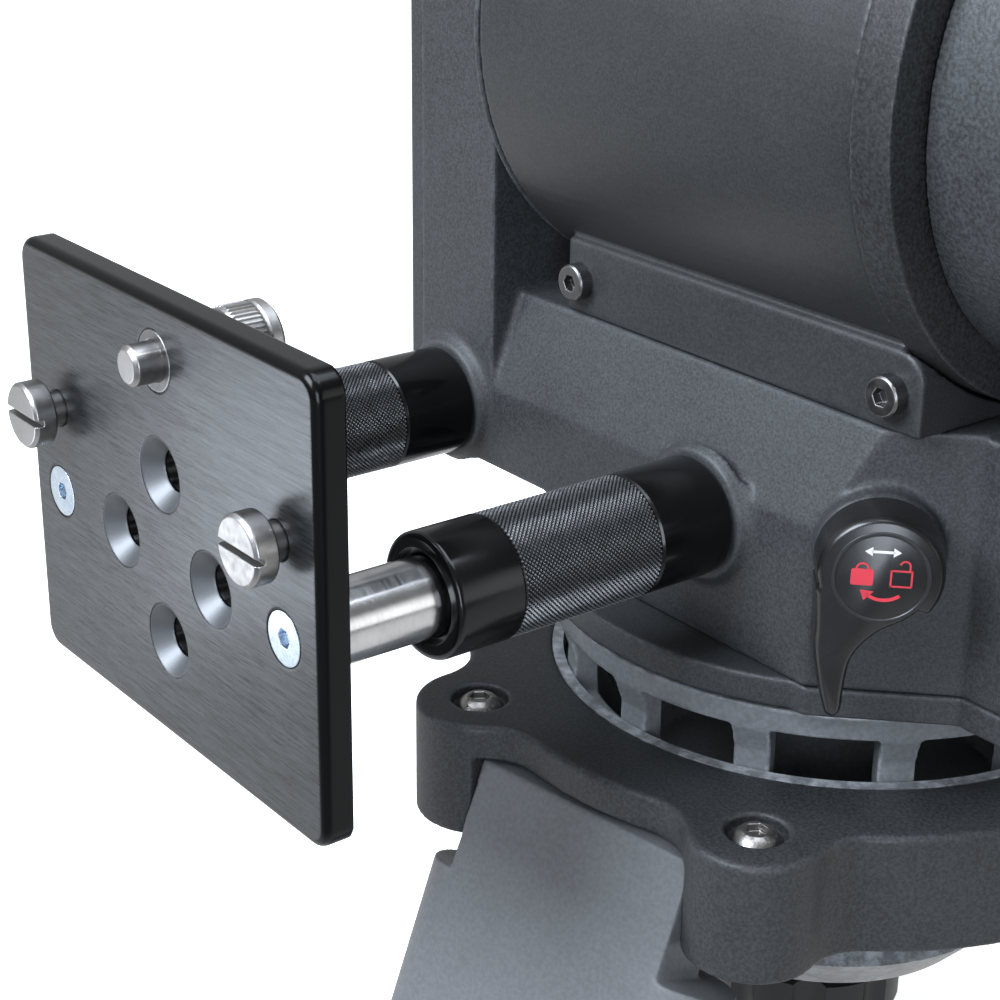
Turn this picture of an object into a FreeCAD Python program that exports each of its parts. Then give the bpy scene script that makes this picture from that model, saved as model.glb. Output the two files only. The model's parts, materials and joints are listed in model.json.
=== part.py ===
import FreeCAD, Part
import math
import os
import re
import Sketcher

# A fluid-drag pan and tilt head (an alt-azimuth mount) on a 150 mm bowl tripod crown.
# X is the tilt axis and points right, Y points back, Z points up.
# Every place below is measured from the pan axis (X, Y) and the top of the crown (Z).
# The part's own origin is on the floor, in the middle of its outline.

V = FreeCAD.Vector
UP = V(0, 0, 1)
RIGHT = V(1, 0, 0)
LEFT = V(-1, 0, 0)
FRONT = V(0, -1, 0)
BACK = V(0, 1, 0)
DOWN = V(0, 0, -1)
FULL_TURN = 360.0
EPS = 0.01

DIMENSIONS = (
    ("pan_x", 4.77, "pan axis, X in the part's frame"),
    ("pan_y", 35.91, "pan axis, Y in the part's frame"),
    ("crown_radius", 101.0, "tripod crown, plain rim"),
    ("crown_height", 32.0, "tripod crown, height of the casting"),
    ("crown_edge", 1.5, "tripod crown, rounding of the top edge"),
    ("lobe_radius", 17.0, "crown lobe"),
    ("lobe_reach", 103.0, "crown lobe centre from the pan axis"),
    ("lobe_angle", 26.9, "crown lobe, angle to the leg"),
    ("lobe_blend", 16.0, "blend between lobe and rim"),
    ("lobe_sink_radius", 7.6, "counterbore round a crown screw"),
    ("lobe_sink_depth", 3.4, "depth of that counterbore"),
    ("crown_screw_radius", 6.6, "crown screw head"),
    ("crown_screw_shank", 3.0, "crown screw shank"),
    ("crown_screw_length", 8.0, "crown screw shank length"),
    ("crown_screw_dome", 3.6, "crown screw head height"),
    ("leg_heading", -82.5, "direction of the front leg"),
    ("leg_spread", 23.0, "leg to the vertical"),
    ("leg_fold", 20.0, "how far a leg folds in"),
    ("leg_pin_reach", 94.0, "leg hinge pin from the pan axis"),
    ("leg_pin_drop", 18.0, "leg hinge pin below the crown's top"),
    ("leg_pin_radius", 5.0, "leg hinge pin"),
    ("leg_pin_length", 104.0, "leg hinge pin"),
    ("leg_slot_half", 36.0, "half width of the crown's leg slot"),
    ("leg_slot_reach", 82.5, "inner wall of the leg slot"),
    ("leg_slot_roof", 9.5, "crown left above a leg slot"),
    ("leg_neck_half", 35.4, "half width of the leg top between the ears"),
    ("leg_neck_rise", 7.6, "leg top above its pin"),
    ("leg_face", 10.0, "leg's outer face from its pin"),
    ("leg_back", 16.0, "leg's inner face from its pin"),
    ("leg_half_width", 48.0, "half width of the leg top below the ears"),
    ("leg_shoulder", 26.0, "leg shoulder below its pin"),
    ("leg_length", 115.0, "leg top from its pin to its end"),
    ("leg_corner", 12.0, "rounding of the leg top's corners"),
    ("leg_socket_radius", 11.0, "socket for a leg tube"),
    ("leg_socket_spacing", 62.0, "between a leg's two sockets"),
    ("leg_socket_depth", 45.0, "depth of a leg tube socket"),
    ("bowl_lip", 78.0, "bowl insert, outer radius"),
    ("bowl_radius", 75.0, "bowl insert, spherical seat of a 150 mm bowl"),
    ("bowl_skin", 79.5, "bowl insert, outer sphere below the crown"),
    ("bowl_floor", 60.0, "bowl insert, depth"),
    ("ball_radius", 74.7, "half ball"),
    ("ball_inside", 68.0, "half ball, inside radius"),
    ("ball_depth", 48.0, "half ball, depth"),
    ("ball_neck", 5.0, "height where the half ball flares out to its rim"),
    ("ball_rim_radius", 77.2, "half ball, rim"),
    ("ball_rim_base", 12.2, "half ball, underside of the rim"),
    ("ball_rim_top", 18.9, "half ball, top of the rim"),
    ("ball_web", 5.0, "half ball, floor thickness"),
    ("ball_hub", 20.0, "half ball, hub radius"),
    ("window_count", 13, "windows round the half ball"),
    ("window_angle", 20.4, "width of a window"),
    ("window_base", 6.0, "window bottom below the bowl lip"),
    ("window_heading", -47.6, "direction of one window"),
    ("stud_radius", 6.0, "tie-down stud"),
    ("stud_length", 66.0, "tie-down stud below the half ball"),
    ("cup_radius", 60.0, "tie-down cup"),
    ("cup_base", 78.0, "tie-down cup, underside below the crown's top"),
    ("knob_radius", 27.0, "tie-down knob"),
    ("knob_length", 38.0, "tie-down knob"),
    ("knob_gap", 0.6, "between tie-down cup and knob"),
    ("spindle_radius", 17.95, "pan spindle"),
    ("spindle_top", 80.0, "top of the pan spindle"),
    ("bearing_bore", 18.0, "pan bearing bore"),
    ("bearing_radius", 34.0, "pan bearing, outside"),
    ("bearing_height", 12.0, "pan bearing"),
    ("lower_bearing", 32.0, "underside of the lower pan bearing"),
    ("upper_bearing", 64.0, "underside of the upper pan bearing"),
    ("plate_base", 20.9, "underside of the bottom plate"),
    ("plate_top", 28.5, "top of the bottom plate"),
    ("plate_ring", 80.0, "bottom plate, round part"),
    ("body_front", 65.0, "front face from the pan axis"),
    ("body_crease", 69.0, "height where the front face starts to slope"),
    ("saddle_seat", 94.8, "top of the base casting"),
    ("seat_front", 55.0, "front edge of the saddle seat"),
    ("facet_reach", 82.0, "lever facet from the pan axis"),
    ("wing_front", 39.0, "front face of the right wing"),
    ("wing_back", 33.0, "back face of the right wing"),
    ("wing_end", 118.0, "right end of the wing"),
    ("wing_top", 94.0, "top of the wing"),
    ("upright_inner", 72.5, "inner face of the left upright"),
    ("upright_outer", 105.8, "outer face of the left upright"),
    ("upright_base", 46.0, "underside of the left upright"),
    ("upright_crown", 74.0, "rounded top of the upright, about the tilt axis"),
    ("step_start", 48.0, "left end of the deeper part of the casting"),
    ("cover_thickness", 6.0, "side cover"),
    ("cover_shank", 2.4, "side cover screw shank"),
    ("cover_inset", 1.0, "side cover inside the upright's outline"),
    ("cavity_front", 38.0, "upright cavity, front wall"),
    ("cavity_back", 46.0, "upright cavity, back wall"),
    ("cavity_base", 92.0, "upright cavity, floor"),
    ("cavity_top", 222.0, "upright cavity, roof"),
    ("cavity_depth", 27.8, "upright cavity, depth"),
    ("tilt_y", -4.0, "tilt axis, Y"),
    ("tilt_z", 169.0, "tilt axis, height above the crown"),
    ("housing_radius", 72.3, "tilt housing"),
    ("housing_wall", 6.0, "tilt housing, wall"),
    ("housing_left", -64.6, "tilt housing, left end"),
    ("housing_right", 63.6, "tilt housing, right end"),
    ("housing_end", 4.6, "tilt housing, end plates"),
    ("saddle_left", -53.0, "saddle flange, left end"),
    ("saddle_right", 70.5, "saddle flange, right end"),
    ("saddle_half", 51.0, "saddle flange, half depth"),
    ("saddle_height", 19.6, "saddle flange, height of its front face"),
    ("saddle_corner", 7.0, "saddle flange, rounded upper corner"),
    ("saddle_relief", 74.4, "room for the right cheek in the saddle flange"),
    ("saddle_screw_left", -47.5, "left saddle screw"),
    ("saddle_screw_right", 62.0, "right saddle screw"),
    ("saddle_screw_rise", 9.0, "saddle screw above the seat"),
    ("socket_head", 4.9, "socket screw head radius"),
    ("socket_height", 4.0, "socket screw head height"),
    ("socket_shank", 2.9, "socket screw shank"),
    ("socket_key", 4.0, "socket screw, across the flats of the key"),
    ("drum_left", 76.2, "drag drum, left end"),
    ("drum_right", 117.0, "drag drum, right end"),
    ("drum_radius", 64.0, "drag drum"),
    ("drum_foot_half", 24.0, "drag drum's foot, half depth"),
    ("axle_radius", 11.97, "tilt axle"),
    ("axle_left", -98.0, "tilt axle, left end"),
    ("axle_right", 112.0, "tilt axle, right end"),
    ("tilt_bore", 12.03, "tilt bearing bore"),
    ("tilt_bearing_radius", 22.0, "tilt bearing, outside"),
    ("disc_thickness", 1.8, "drag disc"),
    ("disc_pitch", 4.0, "drag disc pitch"),
    ("pan_disc_radius", 33.0, "pan drag disc"),
    ("tilt_disc_radius", 62.0, "tilt drag disc"),
    ("coil_radius", 34.0, "counterbalance spring, mean radius"),
    ("coil_wire", 3.2, "counterbalance spring, wire radius"),
    ("coil_pitch", 9.0, "counterbalance spring, pitch"),
    ("coil_height", 45.0, "counterbalance spring, length"),
    ("post_spacing", 103.8, "between the two bracket posts"),
    ("post_middle", -39.0, "middle of the bracket, X"),
    ("post_height", 61.2, "bracket posts above the crown's top"),
    ("rod_radius", 9.5, "bracket rod"),
    ("rod_bore", 9.56, "bore that the rod slides in"),
    ("rod_inner_end", 70.0, "rod's inner end from the pan axis"),
    ("collar_radius", 15.0, "lock collar"),
    ("collar_front", 149.5, "lock collar, front end"),
    ("collar_back", 68.3, "lock collar, back end"),
    ("collar_chamfer", 1.5, "lock collar, end chamfer"),
    ("spigot_radius", 12.4, "post spigot inside the collar"),
    ("spigot_bore", 12.45, "collar bore round the spigot"),
    ("spigot_front", 98.0, "front end of the post spigot"),
    ("boss_radius", 17.6, "boss round a post"),
    ("bracket_face", 185.5, "front face of the bracket plate"),
    ("bracket_thickness", 7.5, "bracket plate"),
    ("bracket_width", 133.3, "bracket plate"),
    ("bracket_height", 110.0, "bracket plate"),
    ("bracket_rise", 8.0, "plate's middle above the posts"),
    ("bracket_corner", 6.0, "bracket plate, corner radius"),
    ("bracket_edge", 2.2, "bracket plate, rounded front edge"),
    ("pattern_radius", 21.0, "circle of the four plate holes"),
    ("sink_radius", 9.0, "countersink of a plate hole"),
    ("sink_depth", 4.2, "countersink depth"),
    ("hole_radius", 5.0, "plate hole"),
    ("flat_head", 6.5, "rod screw, flat head"),
    ("flat_shank", 3.1, "rod screw, shank"),
    ("flat_height", 3.2, "rod screw, head height"),
    ("flat_length", 22.0, "rod screw, length"),
    ("captive_spacing", 101.0, "between the two thumb screws"),
    ("captive_rise", 22.4, "thumb screws above the posts"),
    ("captive_head", 8.2, "thumb screw head radius"),
    ("captive_neck", 4.4, "thumb screw neck"),
    ("captive_stand", 10.0, "thumb screw's face in front of the plate"),
    ("captive_head_height", 6.0, "thumb screw head"),
    ("captive_tail", 6.0, "thumb screw behind the plate"),
    ("captive_slot", 1.6, "thumb screw slot, width"),
    ("plunger_rise", 48.3, "plunger above the posts"),
    ("plunger_pin", 4.8, "plunger pin"),
    ("plunger_stem", 2.4, "plunger stem"),
    ("plunger_stand", 7.0, "plunger pin in front of the plate"),
    ("plunger_travel", 7.0, "plunger travel"),
    ("plunger_body", 7.2, "plunger bushing"),
    ("plunger_tail", 8.5, "plunger bushing behind the plate"),
    ("plunger_knob", 9.5, "plunger knob"),
    ("plunger_knob_height", 12.0, "plunger knob"),
    ("lever_shift", 5.0, "lever pivot along its facet"),
    ("lever_height", 66.0, "lever pivot above the crown's top"),
    ("lever_boss", 15.0, "lever boss"),
    ("lever_boss_height", 6.0, "lever boss"),
    ("lever_hub", 13.0, "lever hub"),
    ("lever_thickness", 11.0, "lever"),
    ("lever_badge", 11.2, "lever badge"),
    ("lever_badge_height", 0.8, "lever badge"),
    ("lever_bolt", 4.0, "lever pivot bolt"),
    ("platform_rise", 77.0, "underside of the platform above the tilt axis"),
    ("platform_thickness", 15.0, "platform"),
    ("platform_half", 85.0, "platform, half length"),
    ("platform_left", -71.5, "platform, left side"),
    ("platform_right", 75.4, "platform, right side"),
    ("channel_half", 40.0, "platform channel, half width at its top"),
    ("channel_depth", 8.0, "platform channel"),
    ("channel_gap", 0.4, "sliding plate to channel"),
    ("slide_rise", 5.0, "sliding plate above the platform"),
    ("slide_half", 60.0, "sliding plate, half length"),
    ("cheek_left", -71.5, "left cheek, left face"),
    ("cheek_rim", -66.9, "left cheek, start of its rim"),
    ("cheek_rim_end", -65.1, "left cheek, right face"),
    ("right_cheek_left", 64.2, "right cheek, left face"),
    ("right_cheek_radius", 73.6, "right cheek"),
    ("arm_half", 44.0, "cheek arms, half depth"),
    ("thread_radius", 4.76, "3/8 inch camera screw"),
    ("thread_neck", 4.1, "camera screw below its thread"),
    ("grip_radius", 9.0, "crank grip"),
    ("grip_pin", 3.0, "pin that the crank grip turns on"),
    ("knob_shaft", 5.0, "drag knob shaft"),
    ("pan_knob_x", 20.0, "pan drag knob, X"),
    ("pan_knob_z", 56.0, "pan drag knob, height"),
    ("crank_y", 12.0, "crank axis, Y"),
    ("crank_z", 130.0, "crank axis, height"),
    ("crank_reach", 34.0, "crank arm"),
)

doc = FreeCAD.newDocument("fluid_head")
sheet = doc.addObject("Spreadsheet::Sheet", "Dims")
for row, (alias, amount, meaning) in enumerate(DIMENSIONS, start=1):
    sheet.set("A" + str(row), meaning)
    sheet.set("B" + str(row), str(amount))
    sheet.setAlias("B" + str(row), alias)
doc.recompute()

WORD = re.compile(r"[a-z][a-z_0-9]*")
FUNCTIONS = ("sin", "cos", "tan", "sqrt")
subparts = []


def formula(text):
    """Turn plain words into references to the sheet."""
    return WORD.sub(lambda w: w.group() if w.group() in FUNCTIONS else "Dims." + w.group(), str(text))


def value(text):
    """The number that a formula in sheet words gives."""
    return float(sheet.evalExpression(formula(text)))


DECK = value("leg_pin_drop + leg_length * cos(leg_spread) + leg_back * sin(leg_spread)")
ORIGIN = V(value("pan_x"), value("pan_y"), DECK)


# ---------------------------------------------------------------- building blocks

def place(item, x=0, y=0, z=0, rotation=None):
    """Put an item at a point measured from the pan axis and the crown's top."""
    spot = V(value(x), value(y), value(z)) + ORIGIN
    item.Placement = FreeCAD.Placement(spot, rotation or FreeCAD.Rotation())
    return item


def keep(item, label):
    """Name a finished sub-part and add it to the export list."""
    item.Label = label
    subparts.append(item)
    return item


def facing(direction):
    return FreeCAD.Rotation(UP, direction)


def new_body(name):
    return doc.addObject("PartDesign::Body", name)


def origin_feature(body, role):
    return next(item for item in body.Origin.OriginFeatures if item.Role == role)


def new_sketch(body, name, role, lift="0"):
    sketch = body.newObject("Sketcher::SketchObject", name)
    sketch.AttachmentSupport = [(origin_feature(body, role), "")]
    sketch.MapMode = "FlatFace"
    sketch.setExpression("AttachmentOffset.Base.z", formula(lift))
    return sketch


def pin_down(sketch, kind, geometry, end, text):
    index = sketch.addConstraint(Sketcher.Constraint(kind, geometry, end, value(text)))
    sketch.setExpression("Constraints[%d]" % index, formula(text))


def arc_middle(start, end, radius, side):
    """Middle point of the smaller arc between two points, on its left (1) or right (-1)."""
    chord = end - start
    half = chord.Length / 2
    sagitta = radius - math.sqrt(max(radius * radius - half * half, 0))
    across = V(-chord.y, chord.x, 0).normalize()
    return (start + end) * 0.5 + across * (sagitta * side)


def outline(body, name, role, path, lift="0"):
    """A closed sketch. A path item is (x, y), or (x, y, radius, side) for an arc that ends there."""
    sketch = new_sketch(body, name, role, lift)
    corners = [V(value(item[0]), value(item[1]), 0) for item in path]
    ends = []
    for index, item in enumerate(path):
        start = corners[index - 1]
        end = corners[index]
        if len(item) == 2:
            sketch.addGeometry(Part.LineSegment(start, end))
            ends.append((1, 2))
            continue
        middle = arc_middle(start, end, value(item[2]), item[3])
        if item[3] < 0:
            sketch.addGeometry(Part.Arc(start, middle, end))
            ends.append((1, 2))
        else:
            sketch.addGeometry(Part.Arc(end, middle, start))
            ends.append((2, 1))
    for index, item in enumerate(path):
        following = (index + 1) % len(path)
        finish = ends[index][1]
        sketch.addConstraint(Sketcher.Constraint("Coincident", index, finish, following, ends[following][0]))
        pin_down(sketch, "DistanceX", index, finish, item[0])
        pin_down(sketch, "DistanceY", index, finish, item[1])
        if len(item) > 2:
            radius = sketch.addConstraint(Sketcher.Constraint("Radius", index, value(item[2])))
            sketch.setExpression("Constraints[%d]" % radius, formula(item[2]))
    return sketch


def circles(body, name, role, rounds, lift="0"):
    """A sketch of circles, each (x, y, radius)."""
    sketch = new_sketch(body, name, role, lift)
    for index, (x, y, radius) in enumerate(rounds):
        sketch.addGeometry(Part.Circle(V(value(x), value(y), 0), UP, value(radius)))
        pin_down(sketch, "DistanceX", index, 3, x)
        pin_down(sketch, "DistanceY", index, 3, y)
        size = sketch.addConstraint(Sketcher.Constraint("Radius", index, value(radius)))
        sketch.setExpression("Constraints[%d]" % size, formula(radius))
    return sketch


def rectangle(x0, x1, y0, y1):
    return [(x0, y0), (x1, y0), (x1, y1), (x0, y1)]


def extrude(body, kind, sketch, length, backwards=False):
    feature = body.newObject(kind, sketch.Name + "_solid")
    feature.Profile = sketch
    feature.setExpression("Length", formula(length))
    feature.Reversed = backwards
    before = body.Shape.Volume if not body.Shape.isNull() else 0
    doc.recompute()
    if abs(feature.Shape.Volume - before) < EPS:
        raise ValueError(feature.Name + " changes nothing")
    return feature


def pad(body, sketch, length, backwards=False):
    return extrude(body, "PartDesign::Pad", sketch, length, backwards)


def pocket(body, sketch, length, backwards=False):
    return extrude(body, "PartDesign::Pocket", sketch, length, backwards)


def revolve(body, sketch, kind="PartDesign::Revolution"):
    feature = body.newObject(kind, sketch.Name + "_turned")
    feature.Profile = sketch
    feature.ReferenceAxis = (sketch, ["V_Axis"])
    feature.Angle = FULL_TURN
    before = body.Shape.Volume if not body.Shape.isNull() else 0
    doc.recompute()
    if abs(feature.Shape.Volume - before) < EPS:
        raise ValueError(feature.Name + " changes nothing")
    return feature


def soften(body, kind, radius, wanted):
    """Round or chamfer the edges of the body's tip that pass a test."""
    tip = body.Tip
    names = ["Edge%d" % (n + 1) for n, edge in enumerate(tip.Shape.Edges) if wanted(edge)]
    if not names:
        raise ValueError(body.Name + " has no edges to soften")
    feature = body.newObject(kind, body.Name + "_soft")
    feature.Base = (tip, names)
    feature.setExpression("Radius" if kind.endswith("Fillet") else "Size", formula(radius))
    doc.recompute()
    return feature


def turned(name, path):
    """A body turned about its own Z axis from a half profile of (radius, height) corners."""
    body = new_body(name)
    revolve(body, outline(body, name + "_profile", "XZ_Plane", path))
    return body


def tube(name, outer, inner, start, end):
    """A ring or washer; a rod where the inner radius is nothing."""
    return turned(name, rectangle(inner, outer, start, end))


def hexagon(body, name, across, lift, depth):
    """A hexagon socket sunk from a height along Z."""
    corner = "(" + across + ") / sqrt(3)"
    path = [(corner + " * cos(%d)" % angle, corner + " * sin(%d)" % angle) for angle in range(0, 360, 60)]
    return pocket(body, outline(body, name, "XY_Plane", path, lift), depth)


def group(label, master, spots):
    """Copies of one fastener, each a separate solid, in one node."""
    feature = doc.addObject("Part::Feature", label)
    shape = master.Shape.copy()
    shape.Placement = FreeCAD.Placement()
    feature.Shape = Part.makeCompound([shape.transformed(spot.toMatrix(), True) for spot in spots])
    feature.Placement = FreeCAD.Placement(ORIGIN, FreeCAD.Rotation())
    return keep(feature, label)


def spot(x, y, z, rotation=None):
    return FreeCAD.Placement(V(value(x), value(y), value(z)), rotation or FreeCAD.Rotation())


def polar(reach, angle):
    return ("(%s) * cos(%s)" % (reach, angle), "(%s) * sin(%s)" % (reach, angle))


def swung(along, across, angle):
    """A corner given along and across a heading."""
    return ("(%s) * cos(%s) - (%s) * sin(%s)" % (along, angle, across, angle),
            "(%s) * sin(%s) + (%s) * cos(%s)" % (along, angle, across, angle))


def is_upright(edge):
    if len(edge.Vertexes) != 2:
        return False
    along = (edge.Vertexes[0].Point - edge.Vertexes[1].Point).normalize()
    return abs(along.z) > 0.99


def lies_at(edge, axis, level):
    return all(abs(getattr(vertex.Point, axis) - level) < EPS for vertex in edge.Vertexes)


# ---------------------------------------------------------------- tripod crown and legs

LEG_TURNS = (0, 120, 240)


def crown_casting():
    body = new_body("crown_shape")
    pad(body, circles(body, "crown_rim", "XY_Plane", [("0", "0", "crown_radius")]), "crown_height", True)
    lobes = [polar("lobe_reach", "%d %s lobe_angle" % (turn, sign)) for turn in LEG_TURNS for sign in "+-"]
    pad(body, circles(body, "crown_lobes", "XY_Plane", [lobe + ("lobe_radius",) for lobe in lobes]),
        "crown_height", True)

    def inner_corner(edge):
        return is_upright(edge) and edge.Length > value("crown_height") - EPS and \
            abs(math.hypot(edge.Vertexes[0].X, edge.Vertexes[0].Y) - value("crown_radius")) < EPS

    soften(body, "PartDesign::Fillet", "lobe_blend", inner_corner)
    soften(body, "PartDesign::Fillet", "crown_edge", lambda edge: lies_at(edge, "z", 0))
    pocket(body, circles(body, "crown_bowl", "XY_Plane", [("0", "0", "bowl_lip")]), "crown_height")
    pocket(body, circles(body, "crown_sinks", "XY_Plane", [lobe + ("lobe_sink_radius",) for lobe in lobes]),
           "lobe_sink_depth")
    pocket(body, circles(body, "crown_taps", "XY_Plane", [lobe + ("crown_screw_shank",) for lobe in lobes]),
           "lobe_sink_depth + crown_screw_length")
    for turn in LEG_TURNS:
        corners = [swung(along, across, str(turn)) for along, across in
                   rectangle("leg_slot_reach", "lobe_reach + lobe_radius * 2", "-leg_slot_half", "leg_slot_half")]
        slot = outline(body, "leg_slot_%d" % turn, "XY_Plane", corners, "-crown_height")
        pocket(body, slot, "crown_height - leg_slot_roof", True)
    place(body, rotation=FreeCAD.Rotation(UP, value("leg_heading")))
    drills = []
    for turn in LEG_TURNS:
        drill = doc.addObject("Part::Cylinder", "pin_drill_%d" % turn)
        drill.setExpression("Radius", formula("leg_pin_radius"))
        drill.setExpression("Height", formula("leg_pin_length"))
        drill.Placement = leg_pin_placement(turn)
        drills.append(drill)
    bores = doc.addObject("Part::MultiFuse", "pin_bores")
    bores.Shapes = drills
    casting = doc.addObject("Part::Cut", "crown_casting")
    casting.Base = body
    casting.Tool = bores
    keep(casting, "crown_casting")


def leg_frame(turn):
    """Placement at a leg's hinge pin, with X out along the leg's heading and Y along the pin."""
    rotation = FreeCAD.Rotation(UP, value("leg_heading") + turn)
    return FreeCAD.Placement(ORIGIN + rotation.multVec(V(value("leg_pin_reach"), 0, -value("leg_pin_drop"))), rotation)


def leg_pin_placement(turn):
    start = FreeCAD.Placement(V(0, -value("leg_pin_length") / 2, 0), facing(BACK))
    return leg_frame(turn).multiply(start)


def leg_pins():
    master = tube("leg_pin_master", "leg_pin_radius - 0.02", "0", "0", "leg_pin_length")
    home = FreeCAD.Placement(ORIGIN, FreeCAD.Rotation()).inverse()
    group("leg_pins", master, [home.multiply(leg_pin_placement(turn)) for turn in LEG_TURNS])


def leg_top(label, turn):
    body = new_body(label)
    face_rise = "(leg_neck_rise - leg_face * sin(leg_spread)) / cos(leg_spread)"
    pin_rise = "leg_neck_rise / cos(leg_spread)"
    neck = outline(body, label + "_neck", "XZ_Plane", [
        ("leg_face", "-leg_shoulder - 2"), ("leg_face", face_rise), ("0", pin_rise),
        ("-" + pin_rise, "0", pin_rise, -1), ("-" + pin_rise, "-leg_shoulder - 2")], "-leg_neck_half")
    pad(body, neck, "leg_neck_half * 2")
    inset = "leg_half_width - leg_corner"
    stem = outline(body, label + "_stem", "XY_Plane", [
        ("leg_face", "-" + inset.replace("-", "+")), ("leg_face", inset),
        ("leg_face - leg_corner", "leg_half_width", "leg_corner", -1),
        ("leg_corner - leg_back", "leg_half_width"), ("-leg_back", inset, "leg_corner", -1),
        ("-leg_back", "-" + inset.replace("-", "+")),
        ("leg_corner - leg_back", "-leg_half_width", "leg_corner", -1),
        ("leg_face - leg_corner", "-leg_half_width"),
        ("leg_face", "-" + inset.replace("-", "+"), "leg_corner", -1)][1:], "-leg_shoulder")
    pad(body, stem, "leg_length - leg_shoulder", True)
    middle = "(leg_face - leg_back) / 2"
    sockets = [(middle, side + "leg_socket_spacing / 2", "leg_socket_radius") for side in ("", "-")]
    pocket(body, circles(body, label + "_sockets", "XY_Plane", sockets, "-leg_length"), "leg_socket_depth", True)
    eye = circles(body, label + "_eye", "XZ_Plane", [("0", "0", "leg_pin_radius + 0.05")], "-leg_neck_half")
    pocket(body, eye, "leg_neck_half * 2", True)
    tilt = FreeCAD.Placement(V(0, 0, 0), FreeCAD.Rotation(BACK, -value("leg_spread")))
    body.Placement = leg_frame(turn).multiply(tilt)
    keep(body, label)


def bowl_insert():
    shoulder = "sqrt(bowl_skin ^ 2 - crown_height ^ 2)"
    mouth = "sqrt(bowl_radius ^ 2 - bowl_floor ^ 2)"
    skin_mouth = "sqrt(bowl_skin ^ 2 - bowl_floor ^ 2)"
    body = turned("bowl_insert", [
        ("bowl_radius", "0"), (mouth, "-bowl_floor", "bowl_radius", 1), (skin_mouth, "-bowl_floor"),
        (shoulder, "-crown_height", "bowl_skin", -1), ("bowl_lip", "-crown_height"), ("bowl_lip", "0")])
    keep(place(body), "bowl_insert")


def crown_screws():
    master = turned("crown_screw_master", [
        ("0", "-crown_screw_length"), ("crown_screw_shank", "-crown_screw_length"), ("crown_screw_shank", "0"),
        ("crown_screw_radius", "0"), ("crown_screw_radius * 0.55", "crown_screw_dome", "crown_screw_radius", -1),
        ("0", "crown_screw_dome")])
    hexagon(master, "crown_screw_key", "5", "crown_screw_dome", "2")
    angles = [value("leg_heading") + turn + sign * value("lobe_angle") for turn in LEG_TURNS for sign in (1, -1)]
    group("crown_screws", master,
          [spot(*polar("lobe_reach", angle), "-lobe_sink_depth") for angle in angles])


# ---------------------------------------------------------------- levelling ball and tie-down

def claw_ball():
    foot = "sqrt(ball_radius ^ 2 - ball_depth ^ 2)"
    neck = "sqrt(ball_radius ^ 2 - ball_neck ^ 2)"
    body = turned("claw_ball", [
        ("0", "-ball_depth"), (foot, "-ball_depth"), ("ball_radius", "0", "ball_radius", -1),
        (neck, "ball_neck", "ball_radius", -1), ("ball_rim_radius", "ball_rim_base"),
        ("ball_rim_radius", "ball_rim_top"), ("0", "ball_rim_top")])
    floor = "ball_web - ball_depth"
    corner = "sqrt(ball_inside ^ 2 - (ball_depth - ball_web) ^ 2)"
    hollow = outline(body, "ball_hollow", "XZ_Plane", [
        ("ball_hub", floor), (corner, floor), ("ball_inside", "0", "ball_inside", -1),
        ("ball_inside", "ball_rim_base"), ("ball_hub", "ball_rim_base")])
    revolve(body, hollow, "PartDesign::Groove")
    pitch = FULL_TURN / value("window_count")
    for index in range(int(value("window_count"))):
        middle = "(window_heading + %.6f)" % (index * pitch)
        sides = ("(%s - window_angle / 2)" % middle, "(%s + window_angle / 2)" % middle)
        near, far = "(ball_inside - 4)", "(ball_rim_radius + 6)"
        corners = [polar(near, sides[0]), polar(far, sides[0]), polar(far, sides[1]), polar(near, sides[1])]
        window = outline(body, "window_%d" % index, "XY_Plane", corners, "ball_rim_base")
        pocket(body, window, "ball_rim_base + window_base")
    keep(place(body), "claw_ball")


def pan_spindle():
    body = turned("pan_spindle", [
        ("0", "ball_rim_top"), ("bearing_bore - 1", "ball_rim_top"), ("spindle_radius", "plate_base + 6"),
        ("spindle_radius", "spindle_top"), ("0", "spindle_top")])
    keep(place(body), "pan_spindle")


def tie_down():
    stud = tube("tie_down_stud", "stud_radius", "0", "-ball_depth - stud_length", "-ball_depth")
    keep(place(stud), "tie_down_stud")
    cup = turned("tie_down_cup", [
        ("stud_radius + 0.3", "-cup_base"), ("cup_radius * 0.8", "-cup_base"), ("cup_radius", "-64.5"),
        ("cup_radius - 4", "-59.8"), ("cup_radius - 10", "-63.5"), ("cup_radius - 15", "-70"),
        ("stud_radius + 0.3", "-70")])
    keep(place(cup), "tie_down_cup")
    top = "-cup_base - knob_gap"
    base = top + " - knob_length"
    knob = turned("tie_down_knob", [
        ("stud_radius + 0.06", base), ("knob_radius * 0.72", base), ("knob_radius", base + " + 8"),
        ("knob_radius", base + " + 22"), ("knob_radius * 0.55", base + " + 27"),
        ("knob_radius * 0.55", top), ("stud_radius + 0.06", top)])
    flutes = [polar("knob_radius + 4", str(angle)) + ("6.5",) for angle in range(0, 360, 45)]
    pocket(knob, circles(knob, "knob_flutes", "XY_Plane", flutes, base), "23", True)
    keep(place(knob), "tie_down_knob")


# ---------------------------------------------------------------- base casting and what it carries

def facet_path(back):
    """Plan corners of the casting right of its middle, from the front face round to the wing's end."""
    side = "" if back else "-"
    wing = "wing_back" if back else "wing_front"
    facet = "facet_reach * sqrt(2)"
    return [(facet + " - body_front", side + "body_front"), (facet + " - " + wing, side + wing),
            ("wing_end", side + wing)]


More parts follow.
